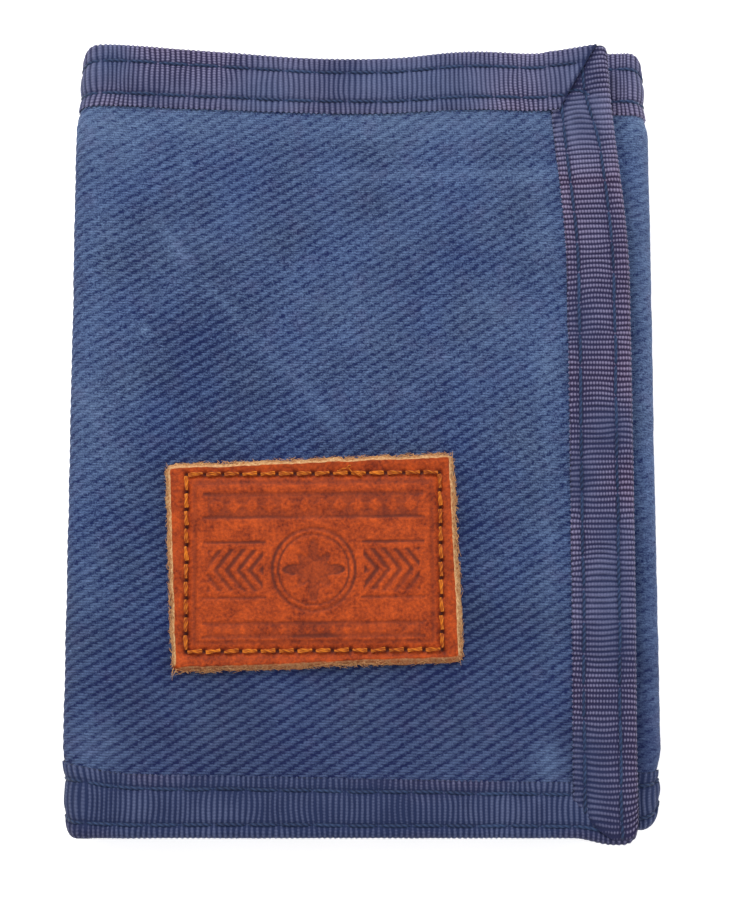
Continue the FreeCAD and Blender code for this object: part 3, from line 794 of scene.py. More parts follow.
# ---- denim and lining ----
# how far apart a mesh's points are, for each kind of cloth
DENIM_STEP = 0.34
LINING_STEP = 0.9
POCKET_STEP = 0.8
TRIM_STEP = 0.25
PANE_STEP = 1.5
ZIP_STEP = 0.3
STRIP_STEP = 0.4


def place(part, s, y, n):
    """Points of the used wallet: on the path, then settled."""
    return settle(on_path(s, y, n), part)


SCUFFS_AND_SHADE = (  # x, y, radius and strength of rubbed spots on the front; a minus is a spot that kept its dye, save the spot at -28.5, -45, which is painted shade along the inner flap's edge beneath
    (-41, 3.5, 3.5, 0.22),
    (-37, -5, 2.5, 0.20),
    (-33, 15, 0.8, 0.60),
    (-38, -48, 5.5, 0.34),
    (27, -49, 2.5, 0.30),
    (15, -47, 8.0, 0.12),
    (-24, 12, 9.0, -0.20),
    (-36, 44, 6.0, 0.14),
    (12, 44, 11.0, 0.08),
    # painted shade along the inner flap's edge beneath the front flap
    (-28.5, -45, 2.2, -0.20),
    (-8, 18, 10.0, 0.10),
    (24, 16, 8.0, 0.08),
)


def front_wear_and_shade(x, y):
    """Rubbed places that only the front panel has, with painted shadow round the label and painted shade
    along the inner flap's edge beneath.
    """
    off_crease = (y + 1.1 * x + 3.8) / 1.49 + 0.9 * noise(x, y, 8, 13)
    stretch = rise(x, -34, 5) * fall(x, -1, 4)
    crease = (0.20 + 0.12 * noise(x, y, 4, 14)) * bump(off_crease, 0, 0.9) * stretch
    ridge = 0.26 * bump(y, 39.7, 1.3) * rise(x, -12, 14)
    edge_below = 0.18 * bump(x, INNER_EDGE - 0.5, 0.9) * bump(y, 43, 8)
    beside_tape = (0.13 + 0.08 * noise(y, x, 9, 15)) * bump(x, 27.8, 1.8)
    # painted shadow on the denim round the raised label
    beside_label = np.maximum(np.abs(x - PATCH_MIDDLE[0]) - PATCH_SIZE[0] / 2, 0)
    above_label = np.maximum(np.abs(y - PATCH_MIDDLE[1]) - PATCH_SIZE[1] / 2, 0)
    painted_shadow_round_label = -0.16 * bump(np.hypot(beside_label, above_label), 0, 3.0)
    wear_and_shade = crease + ridge + edge_below + beside_tape + painted_shadow_round_label
    for spot_x, spot_y, radius, strength in SCUFFS_AND_SHADE:
        wear_and_shade = wear_and_shade + strength * bump(np.hypot(x - spot_x, y - spot_y), 0, radius)
    return wear_and_shade


def denim_wear_and_shade(s, y):
    """How much lighter the denim is, up to 1: rubbed places, and lighter towards the top; below 0 it is
    darker than new cloth looks elsewhere, which carries painted shadow round the label and painted shade
    along the inner flap's edge beneath.
    """
    blotches = 0.09 * noise(s, y, 13, 11) + 0.08 * noise(s, y, 5, 12)
    under_tape = 0.24 * bump(y, TOP - TAPE_FACE - 2.5, 3.5)
    left_fold = 0.16 * bump(s, S_LEFT_TOP + 0.5, 3.5) + 0.2 * bump(s, S_BACK, 3)
    right_fold = 0.3 * bump(s, S_RIGHT_FOOT, 3) + 0.36 * bump(s, S_RIGHT_TOP + 1, 3.5)
    upper = 0.27 * rise(y, -62, 100)
    front = front_wear_and_shade(FRONT_EDGE - s, y) * (s < S_LEFT_SPINE)
    return np.clip(0.04 + upper + blotches + under_tape + left_fold + right_fold + front, -0.3, 1)


def inset_ends(part):
    """Where the cloth inside the tapes starts and stops on this part of the path."""
    low, high, _, _ = PARTS[part]
    return max(low, TAPE), min(high, S_END - TAPE)


def denim_sheet(part):
    def surface(s, y, outside):
        run = -s / FLOAT - y / REPEAT
        shown = fall(np.abs(y), TOP - TAPE_FACE + 0.6, 1.2)
        brushed = 1 - 0.7 * bump(s, S_RIGHT_TOP - 1, 6)
        twill = 0.05 * brushed * np.cos(2 * math.pi * (run - 0.40))
        lumps = 0.05 * noise(s, y, 2.6, 21) + 0.06 * noise(s, y, 9, 22)
        n = SHELL_OUT + (twill + lumps) * shown if outside else SHELL_IN
        return place(part, s, y, n), xyz(s, y, n), denim_wear_and_shade(s, y)

    reach = TOP - TAPE
    return sheet(surface, steps(*inset_ends(part), DENIM_STEP, 3), steps(-reach, reach, ROW, 3), 3)


def lining_sheet(part):
    def surface(s, y, outside):
        puckers = 0.10 * noise(s, y, 11, 31) + 0.04 * noise(s, y, 3.5, 32)
        n = (LINING[0] if outside else LINING[1]) + puckers
        return place(part, s, y, n), xyz(s, y, n), 0.4

    along = steps(*inset_ends(part), LINING_STEP)
    return sheet(surface, along, steps(FOOT + TAPE, LINING_TOP - TAPE, LINING_STEP))


# ---- binding tapes ----
EDGE_ROUND = 0.85
# stitch rows, from each tape's folded edge, and how wide the top and foot tapes show
ROWS = (2.0, 7.7)
TOP_ROWS = (2.8, 8.0)
FOOT_ROWS = (1.8, 6.75)
EDGE_ROWS = (2.5, 7.8)
TOP_FACE = 10.05
FOOT_FACE = 8.6
STITCH = 4.8
STITCH_GAP = 0.12  # from a stitch's end to its hole
THREAD = 0.25  # radius
LAP = 0.44  # how far a tape rides up where it lies over another
LINING_OUT = -1.25  # outer face of the lining's own tape
FOOT_GAP = 0.02  # how far the foot and edge tapes stop short of the wallet's edges
EDGE_GAP = 0.04
LEG_STEPS = 32
TAPE_STATIONS = np.concatenate(
    [
        np.linspace(0, 1, LEG_STEPS + 1),
        np.linspace(1, 4, 13)[1:],
        np.linspace(4, 5, LEG_STEPS // 2 + 1)[1:],
    ]
)


def folded(part, outer, inner, face=TAPE_FACE):
    """The tape's section. part runs 0-1 outer leg, 1-2 bend, 2-3 edge, 3-4 bend, 4-5 inner leg."""
    radius = np.minimum(EDGE_ROUND, 0.45 * (outer - inner))
    leg = face - radius
    flat = outer - inner - 2 * radius
    done = [np.clip(part - number, 0, 1) for number in range(5)]
    first = done[1] * math.pi / 2
    second = done[3] * math.pi / 2
    depth = face - leg * done[0] - radius * np.sin(first)
    depth = depth + radius * (1 - np.cos(second)) + leg * done[4]
    offset = outer - radius * (1 - np.cos(first)) - flat * done[2] - radius * np.sin(second)
    across = leg * (done[0] + done[4]) + radius * (first + second) + flat * done[2]
    return depth, offset, across, first + second


def rib_wave(along):
    """1 on a rib, -1 between ribs."""
    return -np.cos(2 * math.pi * along / RIB)


def tape_relief(along, depth, turn, rows):
    """Ribs, the puffed strips between the stitch rows, and the rows pulled in."""
    groove = sum(bump(depth, row, 0.42) for row in rows)
    to_hole = np.abs((along / STITCH) % 1 - 0.5) - 0.5
    holes = bump(to_hole * STITCH, 0, 0.55)
    lies_flat = np.abs(np.cos(turn))
    uneven = 1.15 + 0.45 * noise(along, depth, 1.6, 43)
    ribs = 0.07 * uneven * rib_wave(along) * (1 - 0.6 * groove)
    middle = (rows[0] + rows[1]) / 2
    puff = 0.26 * bump(depth, middle, 2.2) + 0.07 * noise(along, depth, 4, 41)
    pressed = np.where(np.cos(turn) < 0, 0.15, 1.0)  # the inner leg is squeezed flat by the other panels
    return ribs + puff * lies_flat * pressed - groove * (0.20 + 0.12 * holes) * lies_flat


def uncut(along, depth):
    return along


def steady(value):
    """The same number everywhere along a tape."""
    return lambda along, depth=0: value + 0 * along


class Binding:
    """A tape folded over an edge. lay(along, depth, offset) puts it in the wallet; cut shapes its end; end
    is where painted shadow darkens the cut end.
    """

    def __init__(
        self, lay, inner, rows, tint, worn_and_shaded, seed,
        outer=TAPE_OUT, face=TAPE_FACE, cut=uncut, bend=steady(0), end=-math.inf,
    ):
        self.lay = lay
        self.inner = inner
        self.stitch_rows = rows
        self.tint = tint
        self.worn_and_shaded = worn_and_shaded
        self.seed = seed
        self.outer = outer
        self.face = face
        self.cut = cut
        self.bend = bend
        self.end = end

    def point(self, along, part, height):
        depth, offset, _, turn = folded(part, self.outer, self.inner(along), self.face)
        return self.lay(along, depth - np.sin(turn) * height, offset + np.cos(turn) * height)

    def rows_at(self, along):
        return self.stitch_rows[0] + self.bend(along), self.stitch_rows[1]

    def surface(self, along, part, outside):
        depth, offset, across, turn = folded(part, self.outer, self.inner(along), self.face)
        # painted shadow along the tape's cut end, where it is turned under
        cut_end_shadow = bump(along, self.end, 0.6)
        along = self.cut(along, depth)
        rows = self.rows_at(along)
        gathered = sum(bump(depth, row, 0.9) for row in rows) * 0.10 * np.sin(2 * math.pi * along / STITCH)
        crooked = 0.22 * noise(along, across, 4, self.seed + 4) + gathered
        height = tape_relief(along + crooked, depth, turn, rows) if outside else -TAPE
        selvedge = 1 - ease(np.minimum(part, 5 - part) * 12)
        depth = depth + selvedge * 0.16 * rib_wave(along + crooked)
        height = height - selvedge * 0.10 if outside else height
        lifted = offset + np.cos(turn) * height
        points = self.lay(along, depth - np.sin(turn) * height, lifted)
        # painted shade in the grooves of the stitch rows
        groove = sum(bump(depth, row, 0.5) for row in rows)
        patches = 0.22 * noise(along, across, 9, self.seed)
        patches = patches + 0.14 * noise(along, across, 2.5, self.seed + 1)
        rosy_sides = 0.16 * bump(across, 0, 1.2) + 0.30 * bump(depth, 0, 1.8)
        tint = self.tint(along, depth) + rosy_sides + 0.42 * noise(along, across, 8, self.seed + 2)
        tint = np.clip(tint, 0, 1)
        # the tape's wear, darkened by the painted shade of the grooves and the cut end
        wear_and_shade = self.worn_and_shaded(along, depth) + patches - 0.45 * groove - 0.9 * cut_end_shadow
        return points, xyz(along + crooked, across, tint), wear_and_shade

    def mesh(self, low, high):
        return sheet(self.surface, steps(low, high, RIB / 4, 4), TAPE_STATIONS, 4)

    def row(self, low, high, which, inside):
        """One row of stitches between two places along the tape, on one of its faces."""
        holes = np.arange(math.floor(low / STITCH), math.ceil(high / STITCH)) * STITCH
        starts = np.maximum(holes + STITCH_GAP, low + 0.3)
        ends = np.minimum(holes + STITCH - STITCH_GAP, high - 0.3)
        long_enough = ends - starts > 1
        starts, ends = starts[long_enough], ends[long_enough]
        middles = (starts + ends) / 2
        reach = np.linspace(-1, 1, 9)
        along = middles[:, None] + reach * (ends - starts)[:, None] / 2
        depth = self.rows_at(along)[which]
        radius = np.minimum(EDGE_ROUND, 0.45 * (self.outer - self.inner(along)))
        leg = self.face - radius
        part = 4 + (depth - radius) / leg if inside else (self.face - depth) / leg
        wander = 0.12 * noise(along, depth, 6, self.seed + 3) / leg
        lift = (-0.2 if inside else -0.04) - 0.42 * np.abs(reach) ** 5
        centres = self.point(along, part + wander, lift)
        up = self.point(along, part + wander, lift + 1) - centres
        return tubes(centres, THREAD, 7, up, wear_and_shade=0.5 + 0.5 * noise(middles, which, 3, self.seed + 5))

    def rows(self, low, high):
        """Both rows of stitches on both faces."""
        made = []
        for which, depth in enumerate(self.stitch_rows):
            start = self.cut(low, depth)
            made += [self.row(start, high, which, inside) for inside in (False, True)]
        return made


def closing(distance, radius=0.9):
    """Share of its thickness a tape keeps near an end that is turned under."""
    near = np.clip(1 - distance / radius, 0, 0.97)
    return np.sqrt(1 - near**2)


MITRE_START = 1.6  # the top tape's cut end: how far from the free edge at the mouth
MITRE_SLOPE = 0.66
CUT_REACH = 12.0  # how far along the tape the slanting cut is taken up


def mitre(s, depth):
    """Slants the top tape's end."""
    from_cut = np.clip(1 - (s - MITRE_START) / CUT_REACH, 0, 1)
    return s + MITRE_SLOPE * np.clip(depth, 0, TOP_FACE) * from_cut


def beside_mitre(plain, more):
    """A number that is higher on the stretch of the top tape beside its cut end."""
    return lambda s, depth=0: plain + more * bump(s, 13, 8)


def top_lay(part):
    def lay(s, depth, offset):
        on_front = part == "front"
        over = fall(s, TAPE_FACE + 1.4, 1.6) * on_front
        edge_dip = 0.22 * bump(s - MITRE_SLOPE * np.clip(depth, 0, TAPE_FACE), MITRE_START, 0.35) * on_front
        raised = offset + np.sign(offset) * (over * LAP * 1.25 - edge_dip)
        thin = closing(S_END - s) if part == "inner" else 1
        return place(part, s, TOP - depth, raised * thin)

    return lay


def lining_lay(part):
    def lay(s, depth, offset):
        middle = (LINING[0] + LINING[1]) / 2
        ends = closing(np.minimum(s - TAPE, S_END - TAPE - s))
        return place(part, s, LINING_TOP - depth, middle + (offset - middle) * ends)

    return lay


def foot_lay(part):
    def lay(s, depth, offset):
        middle = (TAPE_OUT + foot_leg(s)) / 2
        ends = closing(np.minimum(s, S_END - s))
        pulled_up = 0.92 + 0.13 * ease(s / 80) + 0.27 * bump(s, S_LEFT_MIDDLE, 9)
        return place(part, s, FOOT + depth * pulled_up, middle + (offset - middle) * ends)

    return lay


TONGUE_START = -60.0
TONGUE_RISE = 4.9


def tongue(y, depth):
    """Rounds the lower end of the tape on the free edge."""
    from_end = np.clip(1 - (y - TONGUE_START) / CUT_REACH, 0, 1)
    return y + TONGUE_RISE * (np.clip(depth, 0, TAPE_FACE) / TAPE_FACE) ** 2.6 * from_end


CROSSING = TOP - TOP_ROWS[1]  # where the top tape's lower row goes on across the edge tape


def crossing_line(depth):
    """The arc that the crossing stitch pulls into the edge tape."""
    return CROSSING + 0.1 + 0.9 * np.sin(math.pi * np.clip((7.7 - depth) / 4.1, 0, 1))


def edge_bend(y):
    """The row by the free edge swings inwards as it nears the mouth."""
    return 1.5 * rise(y, CROSSING - 9, 11)


RIDGE = 38.2  # a crease right across the front flap


def above_ridge(y):
    """1 between the crease and the crossing stitch, where the tape lies slack."""
    return rise(y, RIDGE, 3) * fall(y, CROSSING + 1, 2)


def edge_tint(y, depth):
    return 0.40 + 0.08 * rise(y, -52, 50) - 0.22 * above_ridge(y) + 0.15 * bump(y, RIDGE, 1)


def edge_wear_and_shade(y, depth):
    """Most worn where it puffs up below the crossing stitch; painted shadow in the step beside the slanting
    cut, and painted shade along the crease.
    """
    beside_cut = depth - MITRE_START - MITRE_SLOPE * (TOP - y)
    # painted shadow in the step beside the slanting cut
    step = 0.85 * bump(beside_cut, -0.35, 0.5) * (depth < TAPE_FACE)
    # painted shade along the crease
    crease = 0.3 * bump(y, RIDGE, 0.6)
    turned_side = 0.25 * bump(depth, 0.3, 1.7) * rise(y, 15, 30)
    return 0.26 + 0.22 * rise(y, -58, 50) + 0.36 * above_ridge(y) + turned_side - step - crease


def edge_leg(full):
    """Offset of an edge tape's inner leg: it closes up above the lining, where only the denim is inside."""
    closed = -TAPE_OUT - 0.75
    return lambda y, depth=0: full + (closed - full) * rise(y, LINING_TOP + 0.2, 2.4)


def front_edge_lay(y, depth, offset):
    """The tape down the front flap's free edge; its rounded lower end lies over the foot tape."""
    outer_face = ease(offset + 1.2)
    over = fall(y, FOOT + TAPE_FACE + 0.9, 1.4) * outer_face
    end = tongue(TONGUE_START, depth)
    lip = 0.30 * bump(y, end, 0.45) * outer_face
    pulled = 0.45 * bump(y, crossing_line(depth), 0.6) * rise(depth, 2.6, 0.8) * outer_face
    squeezed = 0.15 * rise(y, CROSSING, 2) * rise(depth, 1.5, 2) * outer_face
    puffed = 0.30 * bump(y, CROSSING - 2.4, 1.7) * bump(depth, 5.2, 1.8) * outer_face
    middle = (TAPE_OUT + edge_leg(FRONT_LEG)(y)) / 2
    thin = closing(TOP - np.abs(y)) ** 0.8
    raised = offset + over * LAP - lip - pulled - squeezed + puffed
    return place("front", depth, y, middle + (raised - middle) * thin)


def crossing_stitches():
    """The long stitch that ends the top tape's lower row, over the edge tape."""
    depth = np.linspace(7.9, 3.5, 15)[None]
    sunk = 0.42 * np.abs(np.linspace(-1, 1, 15)) ** 5
    centres = front_edge_lay(crossing_line(depth), depth, TAPE_OUT + 0.16 - sunk)
    return tubes(centres, 0.27, 7, (0, 0, 1), wear_and_shade=0.7)


def inner_edge_lay(y, depth, offset):
    middle = (TAPE_OUT + edge_leg(DEEP_LEG)(y)) / 2
    thin = closing(TOP - np.abs(y))
    return place("inner", S_END - depth, y, middle + (offset - middle) * thin)


def bindings(part):
    """The three tapes that follow the path: piece, CAD ending, tape, and where it starts and stops."""
    low, high, _, _ = PARTS[part]
    mitred = {"tint": steady(0.25), "worn_and_shaded": steady(0.68)}
    if part == "front":
        low = MITRE_START
        worn_and_shaded = beside_mitre(0.68, 0.10)
        mitred = {"tint": beside_mitre(0.25, 0.25), "worn_and_shaded": worn_and_shaded, "cut": mitre, "end": low}
    top = Binding(top_lay(part), steady(-TAPE_OUT), TOP_ROWS, seed=51, face=TOP_FACE, **mitred)
    lining_leg = steady(FOLD_LEG)
    lining = Binding(lining_lay(part), lining_leg, ROWS, steady(0.30), steady(0.35), 61, outer=LINING_OUT)
    foot = Binding(foot_lay(part), foot_leg, FOOT_ROWS, steady(-0.08), steady(0.26), 71, face=FOOT_FACE)
    foot_low = max(PARTS[part][0], FOOT_GAP)
    return (
        ("top_tape", "top_binding", top, low, high),
        ("lining_tape", "lining_binding", lining, *inset_ends(part)),
        ("foot_tape", "bottom_binding", foot, foot_low, min(high, S_END - FOOT_GAP)),
    )


def edge_bindings():
    """The tapes down the two free edges."""
    tongued = {"cut": tongue, "bend": edge_bend, "end": TONGUE_START}
    front = Binding(front_edge_lay, edge_leg(FRONT_LEG), EDGE_ROWS, edge_tint, edge_wear_and_shade, 81, **tongued)
    inner = Binding(inner_edge_lay, edge_leg(DEEP_LEG), ROWS, steady(0.4), steady(0.4), 91)
    return front, inner


def make_cloth():
    front_tape, inner_tape = edge_bindings()
    for part in PARTS:
        across_fold(part, "denim", denim_sheet(part), "denim", "shell")
        across_fold(part, "lining", lining_sheet(part), "lining_nylon", "lining")
        threads = []
        for kind, ending, tape, low, high in bindings(part):
            across_fold(part, kind, tape.mesh(low, high), "binding_tape", ending)
            threads += tape.rows(low, high)
        if part == "front":
            threads += front_tape.rows(TONGUE_START, TOP)
            threads.append(crossing_stitches())
        if part == "inner":
            threads += inner_tape.rows(FOOT, TOP)
        across_fold(part, "stitching", join(threads), "thread", "stitching")
    front_edge = front_tape.mesh(TONGUE_START, TOP - EDGE_GAP)
    inner_edge = inner_tape.mesh(FOOT + EDGE_GAP, TOP - EDGE_GAP)
    on_body("front_flap", "front_edge_tape", front_edge, "binding_tape", "front_edge_binding")
    on_body("inner_flap", "inner_edge_tape", inner_edge, "binding_tape", "inner_edge_binding")


# ---- leather label ----
PATCH_THICK = 1.8
CUT_SIDE = 0.8  # how far the raw side slants out
PATCH_CORNER = 1.1
ROW_INSETS = (2.7, 2.35)
ROW_TURN = math.radians(-1.9)  # the sewn row and the stamp sit straighter than the label
PATCH_PITCH = 2.7
FIBRES = 900


def turned(u, v, angle):
    return u * math.cos(angle) - v * math.sin(angle), u * math.sin(angle) + v * math.cos(angle)


def on_patch(u, v, height):
    """Points of the label: u and v along its sides, height above the denim."""
    x, y = turned(u, v, PATCH_TURN)
    return settle(xyz(PATCH_MIDDLE[0] + x, PATCH_MIDDLE[1] + y, FRONT_Z + SHELL_OUT + height), "front")


def lines(distance, width):
    """1 on a line whose distance is given, falling off at its sides."""
    return ease(1.4 - np.abs(distance) / width)


def rosette(u, v):
    """An eight-pointed star in two rings."""
    radius = np.hypot(u, v)
    angle = np.arctan2(v, u)
    long_points = np.abs(np.cos(2 * angle)) ** 5
    short_points = np.abs(np.sin(2 * angle)) ** 5
    star = 1.1 + 3.3 * long_points + 1.9 * short_points
    mask = lines(radius - 6.1, 0.26) + lines(radius - 5.2, 0.16)
    filled = rise(star, radius, 0.3) * 0.75
    return mask + lines(radius - star, 0.30) * (radius < 4.8) + filled


def ornament(u, v):
    """A plain stamped pattern: star, chevrons, rules and rows of small diamonds."""
    star_v = -1.2
    mask = rosette(u, v - star_v)
    sideways = np.abs(u)
    chevron = ((sideways + 0.8 * np.abs(v - star_v)) / 1.7) % 1 - 0.5
    beside = (sideways > 7.4) & (sideways < 15.6) & (np.abs(v - star_v) < 3.1)
    mask = mask + lines(chevron * 1.7, 0.42) * beside
    boxed = (sideways > 7.0) & (sideways < 16.4)
    mask = mask + lines(np.abs(v - star_v) - 4.1, 0.20) * boxed
    for rule, width in ((10.1, 0.30), (6.6, 0.22), (-9.0, 0.22), (-11.0, 0.30)):
        mask = mask + lines(v - rule, width) * (sideways < 16.4)
    for row_v, pitch, size in ((8.35, 2.6, 0.95), (-10.0, 1.9, 0.5)):
        along = (u / pitch) % 1 - 0.5
        diamond = np.abs(along * pitch) + np.abs(v - row_v)
        ground = rise(diamond, size, 0.3) * (np.abs(v - row_v) < 1.75 * size) * 0.6
        mask = mask + ground * (sideways < 15.6)
    return np.clip(mask, 0, 1)


def round_corner(u, v, half_u, half_v, radius):
    """Moves points of a rectangle so that its corners become round."""
    du = np.abs(u) - (half_u - radius)
    dv = np.abs(v) - (half_v - radius)
    in_corner = (du > 0) & (dv > 0)
    shrink = np.maximum(du, dv) / np.maximum(np.hypot(du, dv), 1e-6)
    shrink = np.where(in_corner, shrink, 1)
    new_u = np.where(in_corner, np.sign(u) * (half_u - radius + du * shrink), u)
    new_v = np.where(in_corner, np.sign(v) * (half_v - radius + dv * shrink), v)
    return new_u, new_v


def patch_row_points():
    """Needle holes round the label, in order."""
    half_u, half_v = PATCH_SIZE / 2 - ROW_INSETS
    corners = np.array([(-1, -1), (1, -1), (1, 1), (-1, 1), (-1, -1)]) * (half_u, half_v)
    holes = []
    for (u0, v0), (u1, v1) in zip(corners[:-1], corners[1:]):
        count = round(math.hypot(u1 - u0, v1 - v0) / PATCH_PITCH)
        for number in range(count):
            share = number / count
            holes.append(turned(u0 + (u1 - u0) * share, v0 + (v1 - v0) * share, ROW_TURN))
    return np.array(holes)


HOLES = patch_row_points()


def patch_stations(half):
    """Close together on the raw side, wider in the middle."""
    side = np.linspace(-half, -half + 1.4, 11)
    return np.concatenate([side, steps(side[-1], -side[-1], 0.22)[1:-1], -side[::-1]])


def patch_shape():
    half_u, half_v = PATCH_SIZE[0] / 2, PATCH_SIZE[1] / 2

    def surface(u, v, outside):
        from_side = np.minimum(half_u - np.abs(u), half_v - np.abs(v))
        ragged = 0.22 * noise(u, v, 3.2, 101) + 0.12 * noise(u, v, 0.7, 102)
        near_side = np.exp(-from_side / 1.2)
        new_u, new_v = round_corner(u, v, half_u, half_v, PATCH_CORNER)
        new_u = new_u + np.sign(u) * ragged * near_side
        new_v = new_v + np.sign(v) * ragged * near_side
        raw = 1 - rise(from_side, CUT_SIDE - 0.25, 0.45)
        if not outside:
            return on_patch(new_u, new_v, -0.05), xyz(u, v, raw), 0
        slope = ease((from_side / CUT_SIDE) ** 0.7)
        fluff = 0.16 * noise(u, v, 0.45, 103) * raw
        straight_u, straight_v = turned(u, v, -ROW_TURN)
        row_u = np.abs(straight_u) - (half_u - ROW_INSETS[0])
        row_v = np.abs(straight_v) - (half_v - ROW_INSETS[1])
        to_row = np.abs(np.maximum(row_u, row_v))
        pulled = 0.30 * np.exp(-((to_row / 1.1) ** 2))
        pressed = lines(np.maximum(row_u, row_v) + 1.3, 0.3) * 0.7
        to_hole = np.hypot(u[..., None] - HOLES[:, 0], v[..., None] - HOLES[:, 1]).min(-1)
        hole = np.exp(-((to_hole / 0.40) ** 2))
        mask = ornament(straight_u, straight_v)
        wrinkles = 0.05 * noise(u, v, 4, 104) + 0.025 * noise(u, v, 1.2, 105)
        dome = 0.18 * (1 - (u / half_u) ** 4) * (1 - (v / half_v) ** 4)
        top = PATCH_THICK - 0.25 + dome + wrinkles - pulled - 0.12 * mask - 0.12 * pressed - 0.5 * hole
        height = top * slope + fluff
        faded = 0.55 + 0.45 * ease(noise(u, v, 6, 106) + 0.7)
        # needle holes add painted shade on top of the stamp and the pressed row
        dark = np.clip(mask * faded * 0.95 + pressed * 0.6 + 0.5 * pulled, 0, 1) + 1.3 * hole
        # painted shade: the raw side is less pale along the label's lower side and the lower part of its
        # left side, turned from the light
        low_side_shade = fall(v + half_v, 1.6, 1.2)
        left_side_shade = fall(u + half_u, 1.6, 1.2) * (v < 0)
        paleness_with_shade = raw * (1 - 0.5 * low_side_shade - 0.2 * left_side_shade)
        return on_patch(new_u, new_v, height), xyz(u, v, paleness_with_shade), dark

    return sheet(surface, patch_stations(half_u), patch_stations(half_v))


def patch_fibres():
    """Loose fibres that stand out from the raw side."""
    random = np.random.default_rng(7)
    half_u, half_v = PATCH_SIZE / 2
    around = random.uniform(0, 4 * (half_u + half_v), FIBRES)
    corners = np.cumsum([0, 2 * half_u, 2 * half_v, 2 * half_u, 2 * half_v])
    loop_u = np.interp(around, corners, [-half_u, half_u, half_u, -half_u, -half_u])
    loop_v = np.interp(around, corners, [-half_v, -half_v, half_v, half_v, -half_v])
    out_u = np.where(np.abs(loop_u) >= half_u - 1e-6, np.sign(loop_u), 0)[:, None]
    out_v = np.where(np.abs(loop_v) >= half_v - 1e-6, np.sign(loop_v), 0)[:, None]
    start_u, start_v = round_corner(loop_u, loop_v, half_u, half_v, PATCH_CORNER)
    length = random.uniform(0.1, 0.5, (FIBRES, 1))
    sideways = random.normal(0, 0.7, (FIBRES, 1))
    lift = random.uniform(-0.2, 0.3, (FIBRES, 1))
    base = random.uniform(0.1, 1.2, (FIBRES, 1))
    t = np.linspace(0, 1, 5)[None]
    curl = random.normal(0, 0.35, (FIBRES, 1)) * t**2
    outwards = length * t - 0.45 * (base / 1.2)
    along = sideways * t + curl
    u = start_u[:, None] + out_u * outwards - out_v * along
    v = start_v[:, None] + out_v * outwards + out_u * along
    fibres = tubes(on_patch(u, v, base + lift * t), 0.035 * (1.15 - t) + 0.012, 4, (0, 0, 1), wear_and_shade=0)
    fibres.cloth[:, 2] = 1
    return fibres


def patch_stitches():
    """Two plies laid nearly side by side, dipping into the leather at each hole."""
    ends = np.roll(HOLES, -1, axis=0)
    reach = np.linspace(0.13, 0.87, 13)
    random = np.random.default_rng(11)
    direction = unit(ends - HOLES)
    sideways = np.stack([-direction[:, 1], direction[:, 0]], -1)
    slant = random.normal(0.08, 0.07, len(HOLES))[:, None]
    start_turn = random.uniform(0, 0.4, len(HOLES))[:, None]
    tone = random.uniform(0, 1, len(HOLES))
    plies = []
    for ply in (0, 0.5):
        turn = 2 * math.pi * (reach * 0.55 + ply + start_turn)
        across = 0.14 * np.cos(turn) + slant * (2 * reach - 1)
        flat = HOLES[:, None] + (ends - HOLES)[:, None] * reach[None, :, None]
        flat = flat + sideways[:, None] * across[..., None]
        arch = 1.40 + 0.36 * np.sin(math.pi * reach) ** 0.5
        height = arch + 0.10 * np.sin(turn) - 0.5 * np.abs(2 * reach - 1) ** 8
        centres = on_patch(flat[..., 0], flat[..., 1], height)
        plies.append(tubes(centres, 0.18, 7, (0, 0, 1), wear_and_shade=tone))
    return join(plies)


def loose_thread():
    """A thread end that has worked out near the label's upper edge."""
    t = np.linspace(0, 1, 30)
    u = 4.0 + 3.6 * t + 0.9 * np.sin(2 * math.pi * t)
    v = PATCH_SIZE[1] / 2 - ROW_INSETS[1] + 0.15 + 1.1 * np.sin(math.pi * t) - 0.9 * t
    height = 1.75 + 0.5 * np.sin(math.pi * t) ** 0.7
    return tubes(on_patch(u, v, height)[None], 0.13, 7, (0, 0, 1))


def make_patch():
    on_body("front_flap", "leather_label", patch_shape(), "leather", "leather_patch", crisp=80)
    on_body("front_flap", "label_fibres", patch_fibres(), "leather", "leather_patch")
    stitches = join([patch_stitches(), loose_thread()])
    on_body("front_flap", "label_stitches", stitches, "patch_thread", "patch_stitching")


# ---- flat pockets inside ----
SEAM_PITCH = 3.0
WINDOW_BORDER = 5.0
PANE_LAP = 2.0  # how far the pane reaches under its frame
PANE_LIFT = 0.04  # lifts the window off the pocket behind


def mouth_dip(x, low, high, hem):
    """How far the middle of a pocket's mouth sags."""
    return hem * np.sin(math.pi * (x - low[0]) / (high[0] - low[0])) ** 2


def soft_sheet(node, body, seed, hem, wave):
    """A flat cloth sheet that fills a CAD node's box, with small waves and a sagging mouth."""
    low, high = node_box(node)

    def surface(x, y, outside):
        waves = wave * (noise(x, y, 9, seed) + 0.4 * noise(x, y, 3, seed + 1))
        to_side = np.minimum(x - low[0], high[0] - x)
        sagged = y - mouth_dip(x, low, high, hem) * ease((y - low[1]) / (high[1] - low[1]))
        z = (high if outside else low)[2] + waves * ease(to_side / 3)
        points = settle(xyz(x, sagged, z), body.removesuffix("_flap"))
        return points, xyz(x, y, z), 0.5 + 0.4 * noise(x, y, 15, seed + 2)

    return sheet(surface, steps(low[0], high[0], POCKET_STEP), steps(low[1], high[1], POCKET_STEP))


